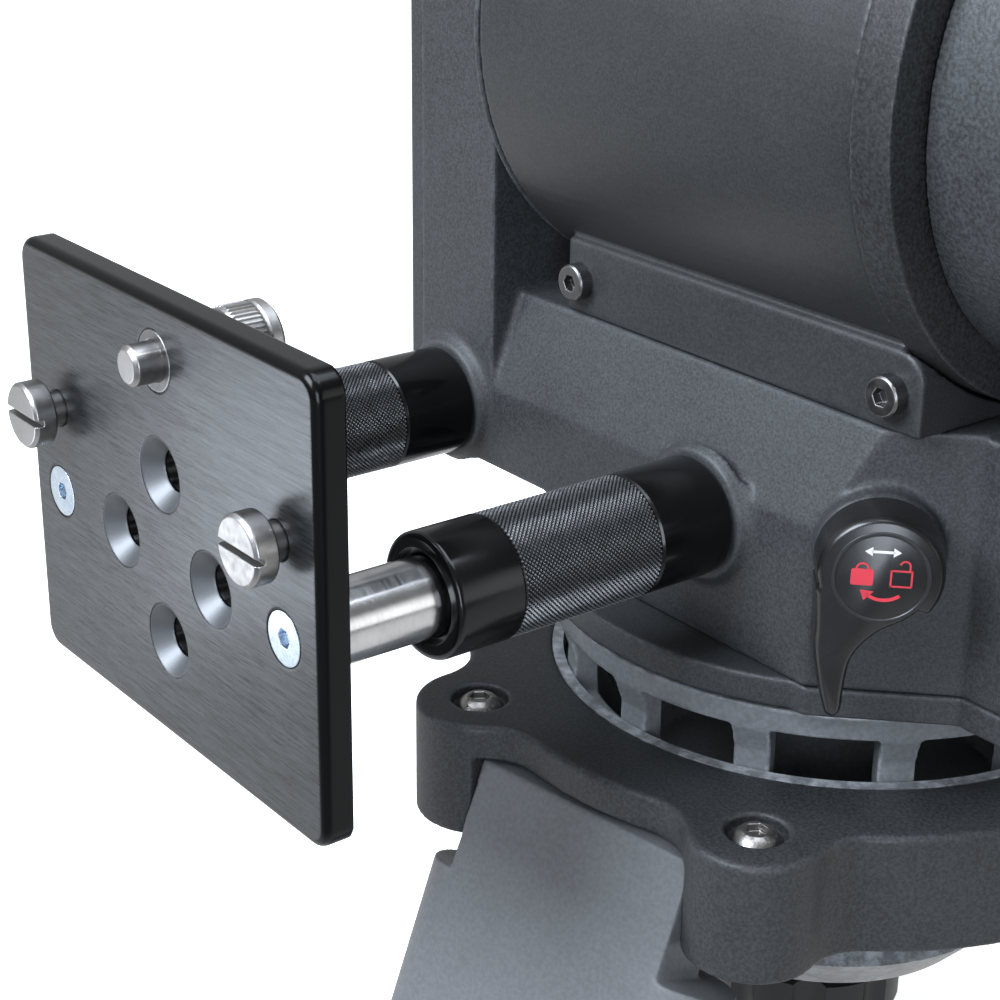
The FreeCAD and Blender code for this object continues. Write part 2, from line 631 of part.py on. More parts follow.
def bottom_plate():
    body = new_body("bottom_plate")
    height = "plate_top - plate_base"
    pad(body, circles(body, "plate_round", "XY_Plane", [("0", "0", "plate_ring")], "plate_base"), height)
    facet = "facet_reach * sqrt(2)"
    path = [("0", "-body_front")] + facet_path(False) + list(reversed(facet_path(True))) + [("0", "body_front")]
    pad(body, outline(body, "plate_wing", "XY_Plane", path, "plate_base"), height)
    pocket(body, circles(body, "plate_hole", "XY_Plane", [("0", "0", "bearing_bore + 2")], "plate_top"), height)
    keep(place(body), "bottom_plate")


def base_casting():
    body = new_body("base_casting")
    profile = [("-body_front", "plate_top"), ("body_front", "plate_top"), ("body_front", "body_crease"),
               ("seat_front - 8", "saddle_seat"), ("-seat_front", "saddle_seat"), ("-body_front", "body_crease")]
    block = outline(body, "casting_block", "YZ_Plane", profile, "-upright_inner")
    pad(body, block, "upright_inner + facet_reach * sqrt(2) - wing_front")
    facet = "facet_reach * sqrt(2)"
    for back in (False, True):
        side = "" if back else "-"
        corners = [(facet + " - body_front", side + "body_front"), (facet, side + "body_front"), (facet, "0")]
        offcut = outline(body, "facet_%d" % back, "XY_Plane", corners, "saddle_seat")
        pocket(body, offcut, "saddle_seat - plate_top")
    wing = [(facet + " - body_front", "0")] + facet_path(False)[1:] + list(reversed(facet_path(True)[1:]))
    pad(body, outline(body, "casting_wing", "XY_Plane", wing, "plate_top"), "wing_top - plate_top")
    shoulder = "sqrt(upright_crown ^ 2 - (body_front + tilt_y) ^ 2)"
    rear_shoulder = "sqrt(upright_crown ^ 2 - (body_front - tilt_y) ^ 2)"
    upright = outline(body, "upright", "YZ_Plane", [
        ("-body_front", "upright_base"), ("body_front", "upright_base"),
        ("body_front", "tilt_z + " + rear_shoulder),
        ("-body_front", "tilt_z + " + shoulder, "upright_crown", -1)], "-upright_outer")
    pad(body, upright, "upright_outer - upright_inner")
    step = outline(body, "casting_step", "XY_Plane",
                   rectangle("-upright_inner - 1", "-step_start", "-body_front - 1", "body_front + 1"), "plate_top")
    pocket(body, step, "upright_base - plate_top", True)
    cavity = outline(body, "upright_cavity", "YZ_Plane",
                     rectangle("-cavity_front", "cavity_back", "cavity_base", "cavity_top"), "-upright_outer")
    pocket(body, cavity, "cavity_depth", True)
    pocket(body, circles(body, "pan_cavity", "XY_Plane", [("0", "0", "bearing_radius + 0.05")], "plate_top"),
           "spindle_top + 4 - plate_top", True)
    eye = circles(body, "tilt_eye", "YZ_Plane", [("tilt_y", "tilt_z", "tilt_bearing_radius + 0.05")], "-upright_outer")
    pocket(body, eye, "upright_outer - upright_inner", True)
    bores = [("post_middle %s post_spacing / 2" % sign, "post_height", "rod_bore + 0.1") for sign in "+-"]
    pocket(body, circles(body, "post_bores", "XZ_Plane", bores, "body_front"), "body_front - 44")
    knob_bore = [("pan_knob_x", "pan_knob_z", "knob_shaft + 0.06")]
    pocket(body, circles(body, "knob_bore", "XZ_Plane", knob_bore, "-body_front"), "13", True)
    soften(body, "PartDesign::Fillet", "1.2", outer_casting_edge)
    keep(place(body), "base_casting")


def outer_casting_edge(edge):
    """Long straight outer edges of the casting's sides, which the foundry rounds."""
    if len(edge.Vertexes) != 2 or edge.Curve.TypeId != "Part::GeomLine":
        return False
    points = [vertex.Point for vertex in edge.Vertexes]
    front = all(abs(point.y + value("body_front")) < EPS for point in points)
    upright_front = front and is_upright(edge) and abs(points[0].x + value("upright_outer")) < EPS
    wing_corner = is_upright(edge) and all(abs(point.x - value("wing_end")) < EPS for point in points)
    crease = front and all(abs(point.z - value("body_crease")) < EPS for point in points)
    return upright_front or wing_corner or crease


def side_cover():
    body = new_body("side_cover")
    front = "body_front - cover_inset"
    crown = "(upright_crown - cover_inset)"
    shoulder = "sqrt(%s ^ 2 - (%s + tilt_y) ^ 2)" % (crown, front)
    rear_shoulder = "sqrt(%s ^ 2 - (%s - tilt_y) ^ 2)" % (crown, front)
    path = [("cover_inset - body_front", "upright_base + cover_inset"), (front, "upright_base + cover_inset"),
            (front, "tilt_z + " + rear_shoulder), ("cover_inset - body_front", "tilt_z + " + shoulder, crown, -1)]
    pad(body, outline(body, "cover_plate", "YZ_Plane", path, "-upright_outer"), "cover_thickness", True)
    eye = circles(body, "crank_eye", "YZ_Plane", [("crank_y", "crank_z", "6.4")], "-upright_outer")
    pocket(body, eye, "cover_thickness")
    holes = circles(body, "cover_holes", "YZ_Plane", [(y, z, "cover_shank + 0.05") for y, z in COVER_SCREWS],
                    "-upright_outer")
    pocket(body, holes, "cover_thickness")
    keep(place(body), "side_cover")


COVER_SCREWS = (("-54", "64"), ("52", "64"), ("-54", "113"), ("-50", "182"), ("48", "200"), ("-10", "234"),
                ("52", "120"))


def dome_screw(name, head, dome, shank, length, key):
    master = turned(name, [
        ("0", "-(%s)" % length), (shank, "-(%s)" % length), (shank, "0"), (head, "0"),
        ("(%s) * 0.55" % head, dome, head, -1), ("0", dome)])
    hexagon(master, name + "_key", key, dome, "(%s) * 0.6" % dome)
    return master


def side_cover_screws():
    master = dome_screw("cover_screw_master", "4.5", "2.6", "cover_shank", "cover_thickness - 0.2", "3")
    group("side_cover_screws", master,
          [spot("-upright_outer - cover_thickness", y, z, facing(LEFT)) for y, z in COVER_SCREWS])


def post_base(label, sign):
    body = turned(label, [
        ("rod_bore + 0.1", "body_front"), ("boss_radius + 1.4", "body_front"), ("boss_radius", "body_front + 1"),
        ("boss_radius - 1.2", "collar_back - 0.3"), ("spigot_radius", "collar_back - 0.3"),
        ("spigot_radius", "spigot_front"), ("rod_bore + 0.1", "spigot_front")])
    keep(place(body, "post_middle %s post_spacing / 2" % sign, "0", "post_height", facing(FRONT)), label)


def lock_collar(label, sign):
    body = turned(label, [
        ("spigot_bore", "collar_back"), ("collar_radius", "collar_back"),
        ("collar_radius", "collar_front - collar_chamfer"),
        ("collar_radius - collar_chamfer", "collar_front"), ("rod_bore", "collar_front"),
        ("rod_bore", "spigot_front + 0.4"), ("spigot_bore", "spigot_front + 0.4")])
    keep(place(body, "post_middle %s post_spacing / 2" % sign, "0", "post_height", facing(FRONT)), label)


def pan_bearings():
    master = tube("pan_bearing_master", "bearing_radius", "bearing_bore", "0", "bearing_height")
    group("pan_bearings", master, [spot("0", "0", "lower_bearing"), spot("0", "0", "upper_bearing")])


def pan_drag_discs():
    master = tube("pan_disc_master", "pan_disc_radius", "bearing_bore + 0.5", "0", "disc_thickness")
    start = "lower_bearing + bearing_height + 1"
    group("pan_drag_discs", master, [spot("0", "0", "%s + %d * disc_pitch" % (start, n)) for n in range(5)])


# ---------------------------------------------------------------- tilt housing

def tilt_housing():
    body = new_body("tilt_housing")
    length = "housing_right - housing_left"
    pad(body, circles(body, "housing_round", "YZ_Plane", [("tilt_y", "tilt_z", "housing_radius")], "housing_left"),
        length)
    seat = "saddle_seat"
    top = seat + " + saddle_height"
    flange = outline(body, "saddle", "XZ_Plane", [
        ("saddle_left", seat), ("saddle_right", seat), ("saddle_right", top + " - saddle_corner"),
        ("saddle_right - saddle_corner", top, "saddle_corner", -1), ("saddle_left", top)],
        "saddle_half - tilt_y")
    pad(body, flange, "saddle_half * 2", True)
    relief = [("tilt_y", "tilt_z", "saddle_relief")]
    pocket(body, circles(body, "cheek_relief", "YZ_Plane", relief, "housing_right"), "12.2", True)
    inside = [("tilt_y", "tilt_z", "housing_radius - housing_wall")]
    pocket(body, circles(body, "housing_bore", "YZ_Plane", inside, "housing_left + housing_end"),
           length + " - housing_end * 2", True)
    eye = [("tilt_y", "tilt_z", "tilt_bearing_radius + 0.05")]
    pocket(body, circles(body, "housing_eyes", "YZ_Plane", eye, "housing_left - 1"), length + " + 2", True)
    keep(place(body), "tilt_housing")


def saddle_screws():
    master = turned("socket_screw_master", rectangle("0", "socket_head", "0", "socket_height"))
    soften(master, "PartDesign::Chamfer", "0.5",
           lambda edge: lies_at(edge, "z", value("socket_height")) and edge.Length > value("socket_head"))
    hexagon(master, "socket_screw_key", "socket_key", "socket_height", "socket_height * 0.6")
    height = "saddle_seat + saddle_screw_rise"
    spots = []
    for x in ("saddle_screw_left", "saddle_screw_right"):
        spots.append(spot(x, "tilt_y - saddle_half", height, facing(FRONT)))
        spots.append(spot(x, "tilt_y + saddle_half", height, facing(BACK)))
    group("saddle_screws", master, spots)


def drag_drum():
    body = new_body("drag_drum")
    pad(body, circles(body, "drum_round", "YZ_Plane", [("tilt_y", "tilt_z", "drum_radius")], "drum_left"),
        "drum_right - drum_left")
    soften(body, "PartDesign::Fillet", "3", lambda edge: lies_at(edge, "x", value("drum_right")))
    foot = outline(body, "drum_foot", "XY_Plane",
                   rectangle("drum_left + 4", "drum_right - 3", "tilt_y - drum_foot_half", "tilt_y + drum_foot_half"),
                   "wing_top")
    pad(body, foot, "19")
    bore = [("tilt_y", "tilt_z", "drum_radius - 7")]
    pocket(body, circles(body, "drum_bore", "YZ_Plane", bore, "drum_left + 6"), "drum_right - drum_left - 12", True)
    eye = [("tilt_y", "tilt_z", "tilt_bearing_radius + 0.05")]
    pocket(body, circles(body, "drum_eye", "YZ_Plane", eye, "drum_left - 1"), "8", True)
    shaft = [("tilt_y", "tilt_z", "knob_shaft + 0.06")]
    pocket(body, circles(body, "drum_shaft", "YZ_Plane", shaft, "drum_right - 7"), "8", True)
    keep(place(body), "drag_drum")


def tilt_bearings():
    master = tube("tilt_bearing_master", "tilt_bearing_radius", "tilt_bore", "0", "housing_end")
    starts = ("-upright_inner - 5", "housing_left", "housing_right - housing_end", "drum_left + 0.7")
    group("tilt_bearings", master, [spot(x, "tilt_y", "tilt_z", facing(RIGHT)) for x in starts])


def tilt_drag_discs():
    master = tube("tilt_disc_master", "tilt_disc_radius", "tilt_bore + 0.5", "0", "disc_thickness")
    group("tilt_drag_discs", master,
          [spot("housing_left + 12 + %d * disc_pitch" % n, "tilt_y", "tilt_z", facing(RIGHT)) for n in range(9)])


def coil(label, mean, wire, pitch, height, centre, direction):
    """A helical spring: a round wire swept along a helix."""
    path = Part.makeHelix(value(pitch), value(height), value(mean))
    section = Part.Wire([Part.makeCircle(value(wire), V(value(mean), 0, 0), BACK)])
    shape = Part.Wire(path.Edges).makePipeShell([section], True, True)
    feature = doc.addObject("Part::Feature", label)
    feature.Shape = shape
    place(feature, *centre, facing(direction))
    keep(feature, label)


# ---------------------------------------------------------------- tilting platform

def cheek(label, layers, left, right):
    """A disc of one or more steps with an arm up to the platform."""
    body = new_body(label)
    for index, (start, end, radius) in enumerate(layers):
        pad(body, circles(body, "%s_disc_%d" % (label, index), "YZ_Plane", [("tilt_y", "tilt_z", radius)], start),
            "%s - (%s)" % (end, start))
    arm = rectangle("tilt_y - arm_half", "tilt_y + arm_half", "tilt_z", "tilt_z + platform_rise")
    pad(body, outline(body, label + "_arm", "YZ_Plane", arm, left), "%s - (%s)" % (right, left))
    eye = circles(body, label + "_eye", "YZ_Plane", [("tilt_y", "tilt_z", "tilt_bore - 0.03")], "(%s) - 1" % left)
    pocket(body, eye, "%s - (%s) + 2" % (right, left), True)
    return keep(place(body), label)


def cheeks():
    cheek("left_cheek", [("cheek_left", "cheek_rim", "housing_radius - 7"),
                         ("cheek_rim", "cheek_rim_end", "housing_radius")], "cheek_left", "cheek_rim_end")
    body = cheek("right_cheek", [("right_cheek_left", "platform_right", "right_cheek_radius")],
                 "right_cheek_left", "platform_right")
    return body


def tilt_axle():
    body = tube("tilt_axle", "axle_radius", "0", "axle_left", "axle_right - 14")
    keep(place(body, "0", "tilt_y", "tilt_z", facing(RIGHT)), "tilt_axle")


def platform():
    body = new_body("platform")
    base = "tilt_z + platform_rise"
    top = base + " + platform_thickness"
    floor = top + " - channel_depth"
    middle = "(platform_left + platform_right) / 2"
    path = [("platform_left", base), ("platform_right", base), ("platform_right", top),
            (middle + " + channel_half", top), (middle + " + channel_half + 4", floor),
            (middle + " - channel_half - 4", floor), (middle + " - channel_half", top), ("platform_left", top)]
    pad(body, outline(body, "platform_section", "XZ_Plane", path, "platform_half - tilt_y"), "platform_half * 2", True)
    taps = [("tilt_y + platform_half - 18", base + " + platform_thickness / 2", "3"),
            ("tilt_y - platform_half + 18", base + " + platform_thickness / 2", "3")]
    for label, start, backwards in (("left_taps", "platform_left", True), ("right_taps", "platform_right", False)):
        pocket(body, circles(body, label, "YZ_Plane", taps, start), "12", backwards)
    clamp = [("tilt_y + 20", base + " + platform_thickness / 2", "4.05")]
    pocket(body, circles(body, "clamp_eye", "YZ_Plane", clamp, "platform_right"), "14")
    catch = [(middle, base + " + 3.6", "2.6")]
    pocket(body, circles(body, "catch_eye", "XZ_Plane", catch, "-platform_half - tilt_y"), "17", True)
    soften(body, "PartDesign::Fillet", "3",
           lambda edge: edge.Length < value("platform_thickness") + EPS and is_upright(edge)
           and abs(abs(edge.Vertexes[0].X - value(middle)) - value("platform_right - platform_left") / 2) < EPS)
    keep(place(body), "platform")


def platform_screws():
    master = tube("platform_screw_master", "socket_head", "0", "0", "3")
    hexagon(master, "platform_screw_key", "socket_key", "3", "1.8")
    height = "tilt_z + platform_rise + platform_thickness"
    spots = []
    for x in ("platform_left + 9", "platform_right - 9"):
        for y in ("tilt_y - 66", "tilt_y - 22", "tilt_y + 34", "tilt_y + 66"):
            spots.append(spot(x, y, height))
    group("platform_screws", master, spots)


def sliding_plate():
    body = new_body("sliding_plate")
    middle = "(platform_left + platform_right) / 2"
    top = "tilt_z + platform_rise + platform_thickness"
    floor = top + " - channel_depth + channel_gap"
    half = "channel_half - channel_gap"
    path = [(middle + " - (%s) - 3.4" % half, floor), (middle + " + (%s) + 3.4" % half, floor),
            (middle + " + %s" % half, top + " + 0.4"), (middle + " + %s" % half, top + " + slide_rise"),
            (middle + " - (%s)" % half, top + " + slide_rise"), (middle + " - (%s)" % half, top + " + 0.4")]
    pad(body, outline(body, "slide_section", "XZ_Plane", path, "slide_half - tilt_y"), "slide_half * 2", True)
    for index, y in enumerate(CAMERA_SCREWS):
        hole = circles(body, "screw_hole_%d" % index, "XY_Plane", [(middle, y, "5.3")], floor)
        pocket(body, hole, "channel_depth + slide_rise", True)
        recess = circles(body, "screw_recess_%d" % index, "XY_Plane", [(middle, y, "10.6")], floor)
        pocket(body, recess, "6", True)
    keep(place(body), "sliding_plate")


CAMERA_SCREWS = ("tilt_y - 30", "tilt_y + 24")
CAMERA_SCREW_NAMES = ("camera_screw_front", "camera_screw_rear")


def camera_screws():
    for label, y in zip(CAMERA_SCREW_NAMES, CAMERA_SCREWS):
        body = turned(label, [("0", "0"), ("10", "0"), ("10", "5"), ("thread_neck", "5"), ("thread_neck", "12.6"),
                              ("thread_radius", "12.6"), ("thread_radius", "20.5"), ("4", "21.5"), ("0", "21.5")])
        slot = outline(body, label + "_slot", "XY_Plane", rectangle("-11", "11", "-1", "1"))
        pocket(body, slot, "2", True)
        floor = "tilt_z + platform_rise + platform_thickness - channel_depth + channel_gap + 0.5"
        keep(place(body, "(platform_left + platform_right) / 2", y, floor), label)


def plate_clamp_lever():
    body = new_body("plate_clamp_lever")
    hub = circles(body, "clamp_hub", "XY_Plane", [("0", "0", "8")], "0.5")
    pad(body, hub, "9")
    blade = outline(body, "clamp_blade", "XY_Plane",
                    [("0", "-6"), ("40", "-3"), ("40", "3", "3.2", -1), ("0", "6")], "3")
    pad(body, blade, "6.5")
    pad(body, circles(body, "clamp_shaft", "XY_Plane", [("0", "0", "4")], "-13"), "14")
    turn = FreeCAD.Rotation(FRONT, DOWN, RIGHT, "XYZ")
    keep(place(body, "platform_right", "tilt_y + 20", "tilt_z + platform_rise + platform_thickness / 2", turn),
         "plate_clamp_lever")


def plate_catch():
    body = turned("plate_catch", [("0", "-12"), ("2.5", "-12"), ("2.5", "4.5"), ("3.4", "4.5"),
                                  ("3.4", "9"), ("0", "9")])
    keep(place(body, "(platform_left + platform_right) / 2", "tilt_y + platform_half",
               "tilt_z + platform_rise + 3.6", facing(BACK)), "plate_catch")


# ---------------------------------------------------------------- lock levers on the two facets

def facet_placement(back, height):
    """On a facet: X runs along it to the right, Y up, and Z out of it."""
    along = V(-1, 1, 0).normalize() if back else V(1, 1, 0).normalize()
    out = V(1, 1, 0).normalize() if back else V(1, -1, 0).normalize()
    rotation = FreeCAD.Rotation(along, UP, out, "XYZ")
    centre = out * (value("facet_reach") + value(height)) + along * value("lever_shift")
    return FreeCAD.Placement(centre + V(0, 0, value("lever_height")), rotation)


def lever_bosses():
    master = turned("lever_boss_master", [
        ("0", "0"), ("lever_boss", "0"), ("lever_boss", "lever_boss_height - 1.5"),
        ("lever_boss - 1.5", "lever_boss_height"), ("0", "lever_boss_height")])
    pocket(master, circles(master, "boss_eye", "XY_Plane", [("0", "0", "lever_bolt + 0.05")], "lever_boss_height"),
           "lever_boss_height")
    group("lever_bosses", master, [facet_placement(back, "0") for back in (False, True)])


def lock_lever(label, back):
    body = new_body(label)
    hub = "lever_hub"
    path = [("-12.9", "-13"), ("-12.6", "-21"), ("-9.8", "-34"), ("-7.4", "-34.4", "1.25", -1), ("-6.6", "-23"),
            ("0.3", "-13.6", "14", 1), ("8.4", "-sqrt(lever_hub ^ 2 - 8.4 ^ 2)", "12", 1), (hub, "0", hub, -1),
            ("0", hub, hub, -1), ("-%s" % hub, "0", hub, -1)]
    pad(body, outline(body, label + "_blade", "XY_Plane", path, "0"), "lever_thickness")
    sink = circles(body, label + "_sink", "XY_Plane", [("0", "0", "lever_badge + 0.1")], "lever_thickness")
    pocket(body, sink, "lever_badge_height")
    bolt = circles(body, label + "_bolt", "XY_Plane", [("0", "0", "lever_bolt")], "0")
    pad(body, bolt, "lever_boss_height + 0.3 - 0.5", True)
    spot_here = facet_placement(back, "lever_boss_height + 0.3")
    body.Placement = FreeCAD.Placement(spot_here.Base + ORIGIN, spot_here.Rotation)
    keep(body, label)


def lever_badge(label, back):
    body = tube(label, "lever_badge", "0", "0", "lever_badge_height")
    spot_here = facet_placement(back, "lever_boss_height + 0.3 + lever_thickness - lever_badge_height")
    body.Placement = FreeCAD.Placement(spot_here.Base + ORIGIN, spot_here.Rotation)
    keep(body, label)


# ---------------------------------------------------------------- drag knobs, crank and level

def fluted_knob(label, radius, height, shaft, shaft_length, flutes, flute):
    body = turned(label, [
        ("0", "-(%s)" % shaft_length), (shaft, "-(%s)" % shaft_length), (shaft, "0.5"), (radius, "0.5"),
        (radius, "(%s) - 2" % height), ("(%s) - 2" % radius, height), ("0", height)])
    step = FULL_TURN / flutes
    rounds = [polar("(%s) + (%s) * 0.55" % (radius, flute), "%.4f" % (index * step)) + (flute,)
              for index in range(flutes)]
    pocket(body, circles(body, label + "_flutes", "XY_Plane", rounds, "0.5"), height, True)
    return body


def pan_drag_knob():
    body = fluted_knob("pan_drag_knob", "19", "20", "knob_shaft", "12", 12, "2.6")
    keep(place(body, "pan_knob_x", "body_front", "pan_knob_z", facing(BACK)), "pan_drag_knob")


def tilt_drag_knob():
    body = fluted_knob("tilt_drag_knob", "34", "18", "knob_shaft", "6", 18, "3.2")
    keep(place(body, "drum_right", "tilt_y", "tilt_z", facing(RIGHT)), "tilt_drag_knob")


def crank():
    body = new_body("counterbalance_crank")
    pad(body, circles(body, "crank_hub", "XY_Plane", [("0", "0", "11")], "0.5"), "9")
    arm = outline(body, "crank_arm", "XY_Plane",
                  [("0", "-7"), ("crank_reach", "-6"), ("crank_reach + 6", "0", "6", 1),
                   ("crank_reach", "6", "6", 1), ("0", "7")], "3.5")
    pad(body, arm, "6")
    pad(body, circles(body, "crank_pin", "XY_Plane", [("crank_reach", "0", "grip_pin")], "9"), "19")
    pad(body, circles(body, "crank_shaft", "XY_Plane", [("0", "0", "6.3")], "-cover_thickness - 6"),
        "cover_thickness + 7")
    turn = FreeCAD.Rotation(BACK, DOWN, LEFT, "XYZ")
    keep(place(body, "-upright_outer - cover_thickness", "crank_y", "crank_z", turn), "counterbalance_crank")
    grip = turned("crank_grip", [
        ("grip_pin + 0.06", "9.8"), ("7.5", "9.8"), ("grip_radius", "14"), ("grip_radius", "26"), ("6.5", "32"),
        ("0", "32"), ("0", "28.5"), ("grip_pin + 0.06", "28.5")])
    keep(place(grip, "-upright_outer - cover_thickness", "crank_y + crank_reach", "crank_z", facing(LEFT)),
         "crank_grip")


def bubble_level():
    body = turned("level_housing", [("0", "0"), ("11", "0"), ("11", "9"), ("8.6", "9"), ("8.6", "4"), ("0", "4")])
    foot = outline(body, "level_foot", "XY_Plane", rectangle("-11", "11", "-15", "0"), "0")
    pad(body, foot, "4")
    keep(place(body, "-30", "body_front + 15", "56"), "level_housing")
    vial = tube("level_vial", "8.5", "0", "4", "8.6")
    keep(place(vial, "-30", "body_front + 15", "56"), "level_vial")


# ---------------------------------------------------------------- front bracket

def bracket_rod(label, sign):
    body = turned(label, rectangle("0", "rod_radius", "rod_inner_end", "bracket_face - bracket_thickness"))
    tap = circles(body, label + "_tap", "XY_Plane", [("0", "0", "flat_shank")], "bracket_face - bracket_thickness")
    pocket(body, tap, "flat_length")
    keep(place(body, "post_middle %s post_spacing / 2" % sign, "0", "post_height", facing(FRONT)), label)


def countersink(name, x, z, face_radius, hole_radius, depth):
    """A cone that opens at the bracket plate's front face."""
    cone = doc.addObject("Part::Cone", name)
    cone.setExpression("Radius1", formula(hole_radius))
    cone.setExpression("Radius2", formula(face_radius))
    cone.setExpression("Height", formula(depth))
    return place(cone, x, "(%s) - bracket_face" % depth, z, facing(FRONT))


def bracket_plate():
    body = new_body("bracket_blank")
    left = "post_middle - bracket_width / 2"
    right = "post_middle + bracket_width / 2"
    base = "post_height + bracket_rise - bracket_height / 2"
    top = "post_height + bracket_rise + bracket_height / 2"
    pad(body, outline(body, "plate_outline", "XZ_Plane", rectangle(left, right, base, top), "bracket_face"),
        "bracket_thickness", True)
    soften(body, "PartDesign::Fillet", "bracket_corner",
           lambda edge: abs(edge.Length - value("bracket_thickness")) < EPS)
    soften(body, "PartDesign::Fillet", "bracket_edge",
           lambda edge: lies_at(edge, "y", -value("bracket_face")))
    four = [("post_middle + pattern_radius * cos(%d)" % angle, "post_height + pattern_radius * sin(%d)" % angle)
            for angle in (0, 90, 180, 270)]
    posts = [("post_middle %s post_spacing / 2" % sign, "post_height") for sign in "+-"]
    rounds = [(x, z, "hole_radius") for x, z in four]
    rounds += [(x, z, "flat_shank + 0.2") for x, z in posts]
    rounds += [("post_middle %s captive_spacing / 2" % sign, "post_height + captive_rise", "captive_neck + 0.06")
               for sign in "+-"]
    rounds.append(("post_middle", "post_height + plunger_rise", "plunger_body"))
    pocket(body, circles(body, "plate_eyes", "XZ_Plane", rounds, "bracket_face"), "bracket_thickness")
    place(body)
    cones = [countersink("pattern_sink_%d" % n, x, z, "sink_radius", "hole_radius", "sink_depth")
             for n, (x, z) in enumerate(four)]
    cones += [countersink("rod_sink_%d" % n, x, z, "flat_head + 0.2", "flat_shank + 0.2", "flat_height + 0.2")
              for n, (x, z) in enumerate(posts)]
    tools = doc.addObject("Part::MultiFuse", "plate_sinks")
    tools.Shapes = cones
    plate = doc.addObject("Part::Cut", "bracket_plate")
    plate.Base = body
    plate.Tool = tools
    keep(plate, "bracket_plate")


def rod_screws():
    master = turned("rod_screw_master", [
        ("0", "-flat_length"), ("flat_shank - 0.05", "-flat_length"), ("flat_shank - 0.05", "-flat_height"),
        ("flat_head", "0"), ("0", "0")])
    hexagon(master, "rod_screw_key", "4", "0", "2.2")
    spots = [spot("post_middle %s post_spacing / 2" % sign, "-bracket_face", "post_height", facing(FRONT))
             for sign in "+-"]
    group("rod_screws", master, spots)


def thumb_screw(label, sign):
    face = "captive_stand"
    shoulder = "captive_stand - captive_head_height"
    tail = "-bracket_thickness - captive_tail"
    body = turned(label, [
        ("0", tail), ("2.6", tail), ("2.6", "-bracket_thickness"), ("captive_neck", "-bracket_thickness"),
        ("captive_neck", shoulder), ("captive_head - 0.6", shoulder), ("captive_head", shoulder + " + 0.6"),
        ("captive_head", face + " - 0.8"), ("captive_head - 0.8", face), ("0", face)])
    slot = outline(body, label + "_slot", "XY_Plane",
                   rectangle("-captive_head - 1", "captive_head + 1", "-captive_slot / 2", "captive_slot / 2"), face)
    pocket(body, slot, "2.2")
    keep(place(body, "post_middle %s captive_spacing / 2" % sign, "-bracket_face", "post_height + captive_rise",
               facing(FRONT)), label)


def plunger():
    back = "-bracket_thickness - plunger_tail"
    bushing = turned("plunger_bushing", [
        ("plunger_pin + 0.06", "0"), ("plunger_body - 0.02", "0"), ("plunger_body - 0.02", "-bracket_thickness"),
        ("plunger_body + 0.8", "-bracket_thickness"), ("plunger_body + 0.8", back), ("plunger_stem + 0.06", back),
        ("plunger_stem + 0.06", back + " + 1.5"), ("plunger_pin + 0.06", back + " + 1.5")])
    pin_back = back + " + 1.5 + plunger_travel + 0.3"
    tail = back + " - 1.2 - plunger_knob_height"
    pin = turned("plunger_pin", [
        ("0", tail + " + 3"), ("plunger_stem", tail + " + 3"), ("plunger_stem", pin_back), ("plunger_pin", pin_back),
        ("plunger_pin", "plunger_stand - 1"), ("plunger_pin - 1", "plunger_stand"), ("0", "plunger_stand")])
    knob = turned("plunger_knob", [
        ("0", tail), ("plunger_knob - 1", tail), ("plunger_knob", tail + " + 1"),
        ("plunger_knob", back + " - 2.2"), ("plunger_knob - 1", back + " - 1.2"),
        ("plunger_stem", back + " - 1.2"), ("plunger_stem", tail + " + 3"), ("0", tail + " + 3")])
    for label, body in (("plunger_bushing", bushing), ("plunger_pin", pin), ("plunger_knob", knob)):
        keep(place(body, "post_middle", "-bracket_face", "post_height + plunger_rise", facing(FRONT)), label)
    rise = "-(bracket_thickness + plunger_tail) + 2.2"
    coil("plunger_spring", "3.65", "0.6", "2", "5.4",
         ("post_middle", "-bracket_face - (%s)" % rise, "post_height + plunger_rise"), FRONT)


# ---------------------------------------------------------------- assembly

crown_casting()
leg_pins()
for leg_label, leg_turn in zip(("leg_top_front", "leg_top_right", "leg_top_left"), LEG_TURNS):
    leg_top(leg_label, leg_turn)
bowl_insert()
crown_screws()
claw_ball()
pan_spindle()
tie_down()
bottom_plate()
base_casting()
side_cover()
side_cover_screws()
pan_bearings()
pan_drag_discs()
for side_name, side_sign in (("right", "+"), ("left", "-")):
    post_base("post_base_" + side_name, side_sign)
    lock_collar("lock_collar_" + side_name, side_sign)
    bracket_rod("bracket_rod_" + side_name, side_sign)
    thumb_screw("thumb_screw_" + side_name, side_sign)
tilt_housing()
saddle_screws()
drag_drum()
tilt_bearings()
tilt_drag_discs()
coil("counterbalance_spring", "coil_radius", "coil_wire", "coil_pitch", "coil_height",
     ("4", "tilt_y", "tilt_z"), RIGHT)
cheeks()
tilt_axle()
platform()
platform_screws()
sliding_plate()
camera_screws()
plate_clamp_lever()
plate_catch()
lever_bosses()
lock_lever("pan_lock_lever", False)
lock_lever("tilt_lock_lever", True)
lever_badge("pan_lever_badge", False)
lever_badge("tilt_lever_badge", True)
pan_drag_knob()
tilt_drag_knob()
crank()
bubble_level()
bracket_plate()
rod_screws()
plunger()
doc.recompute()

for item in doc.Objects:
    if "Invalid" in item.State or "Error" in item.State:
        raise ValueError(item.Name + " failed to build")
broken = [item.Label for item in subparts if item.Shape.isNull() or not item.Shape.isValid()]
if broken:
    raise ValueError("no valid shape: " + ", ".join(broken))

os.makedirs("parts", exist_ok=True)
extent = FreeCAD.BoundBox()
for item in subparts:
    item.Shape.exportStep(os.path.join("parts", item.Label + ".step"))
    extent.add(item.Shape.BoundBox)
print("sub-parts:", len(subparts), "deck:", round(DECK, 3))
print("extent:", extent)
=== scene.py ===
import json
import math

import bmesh
import bpy
from mathutils import Matrix, Vector

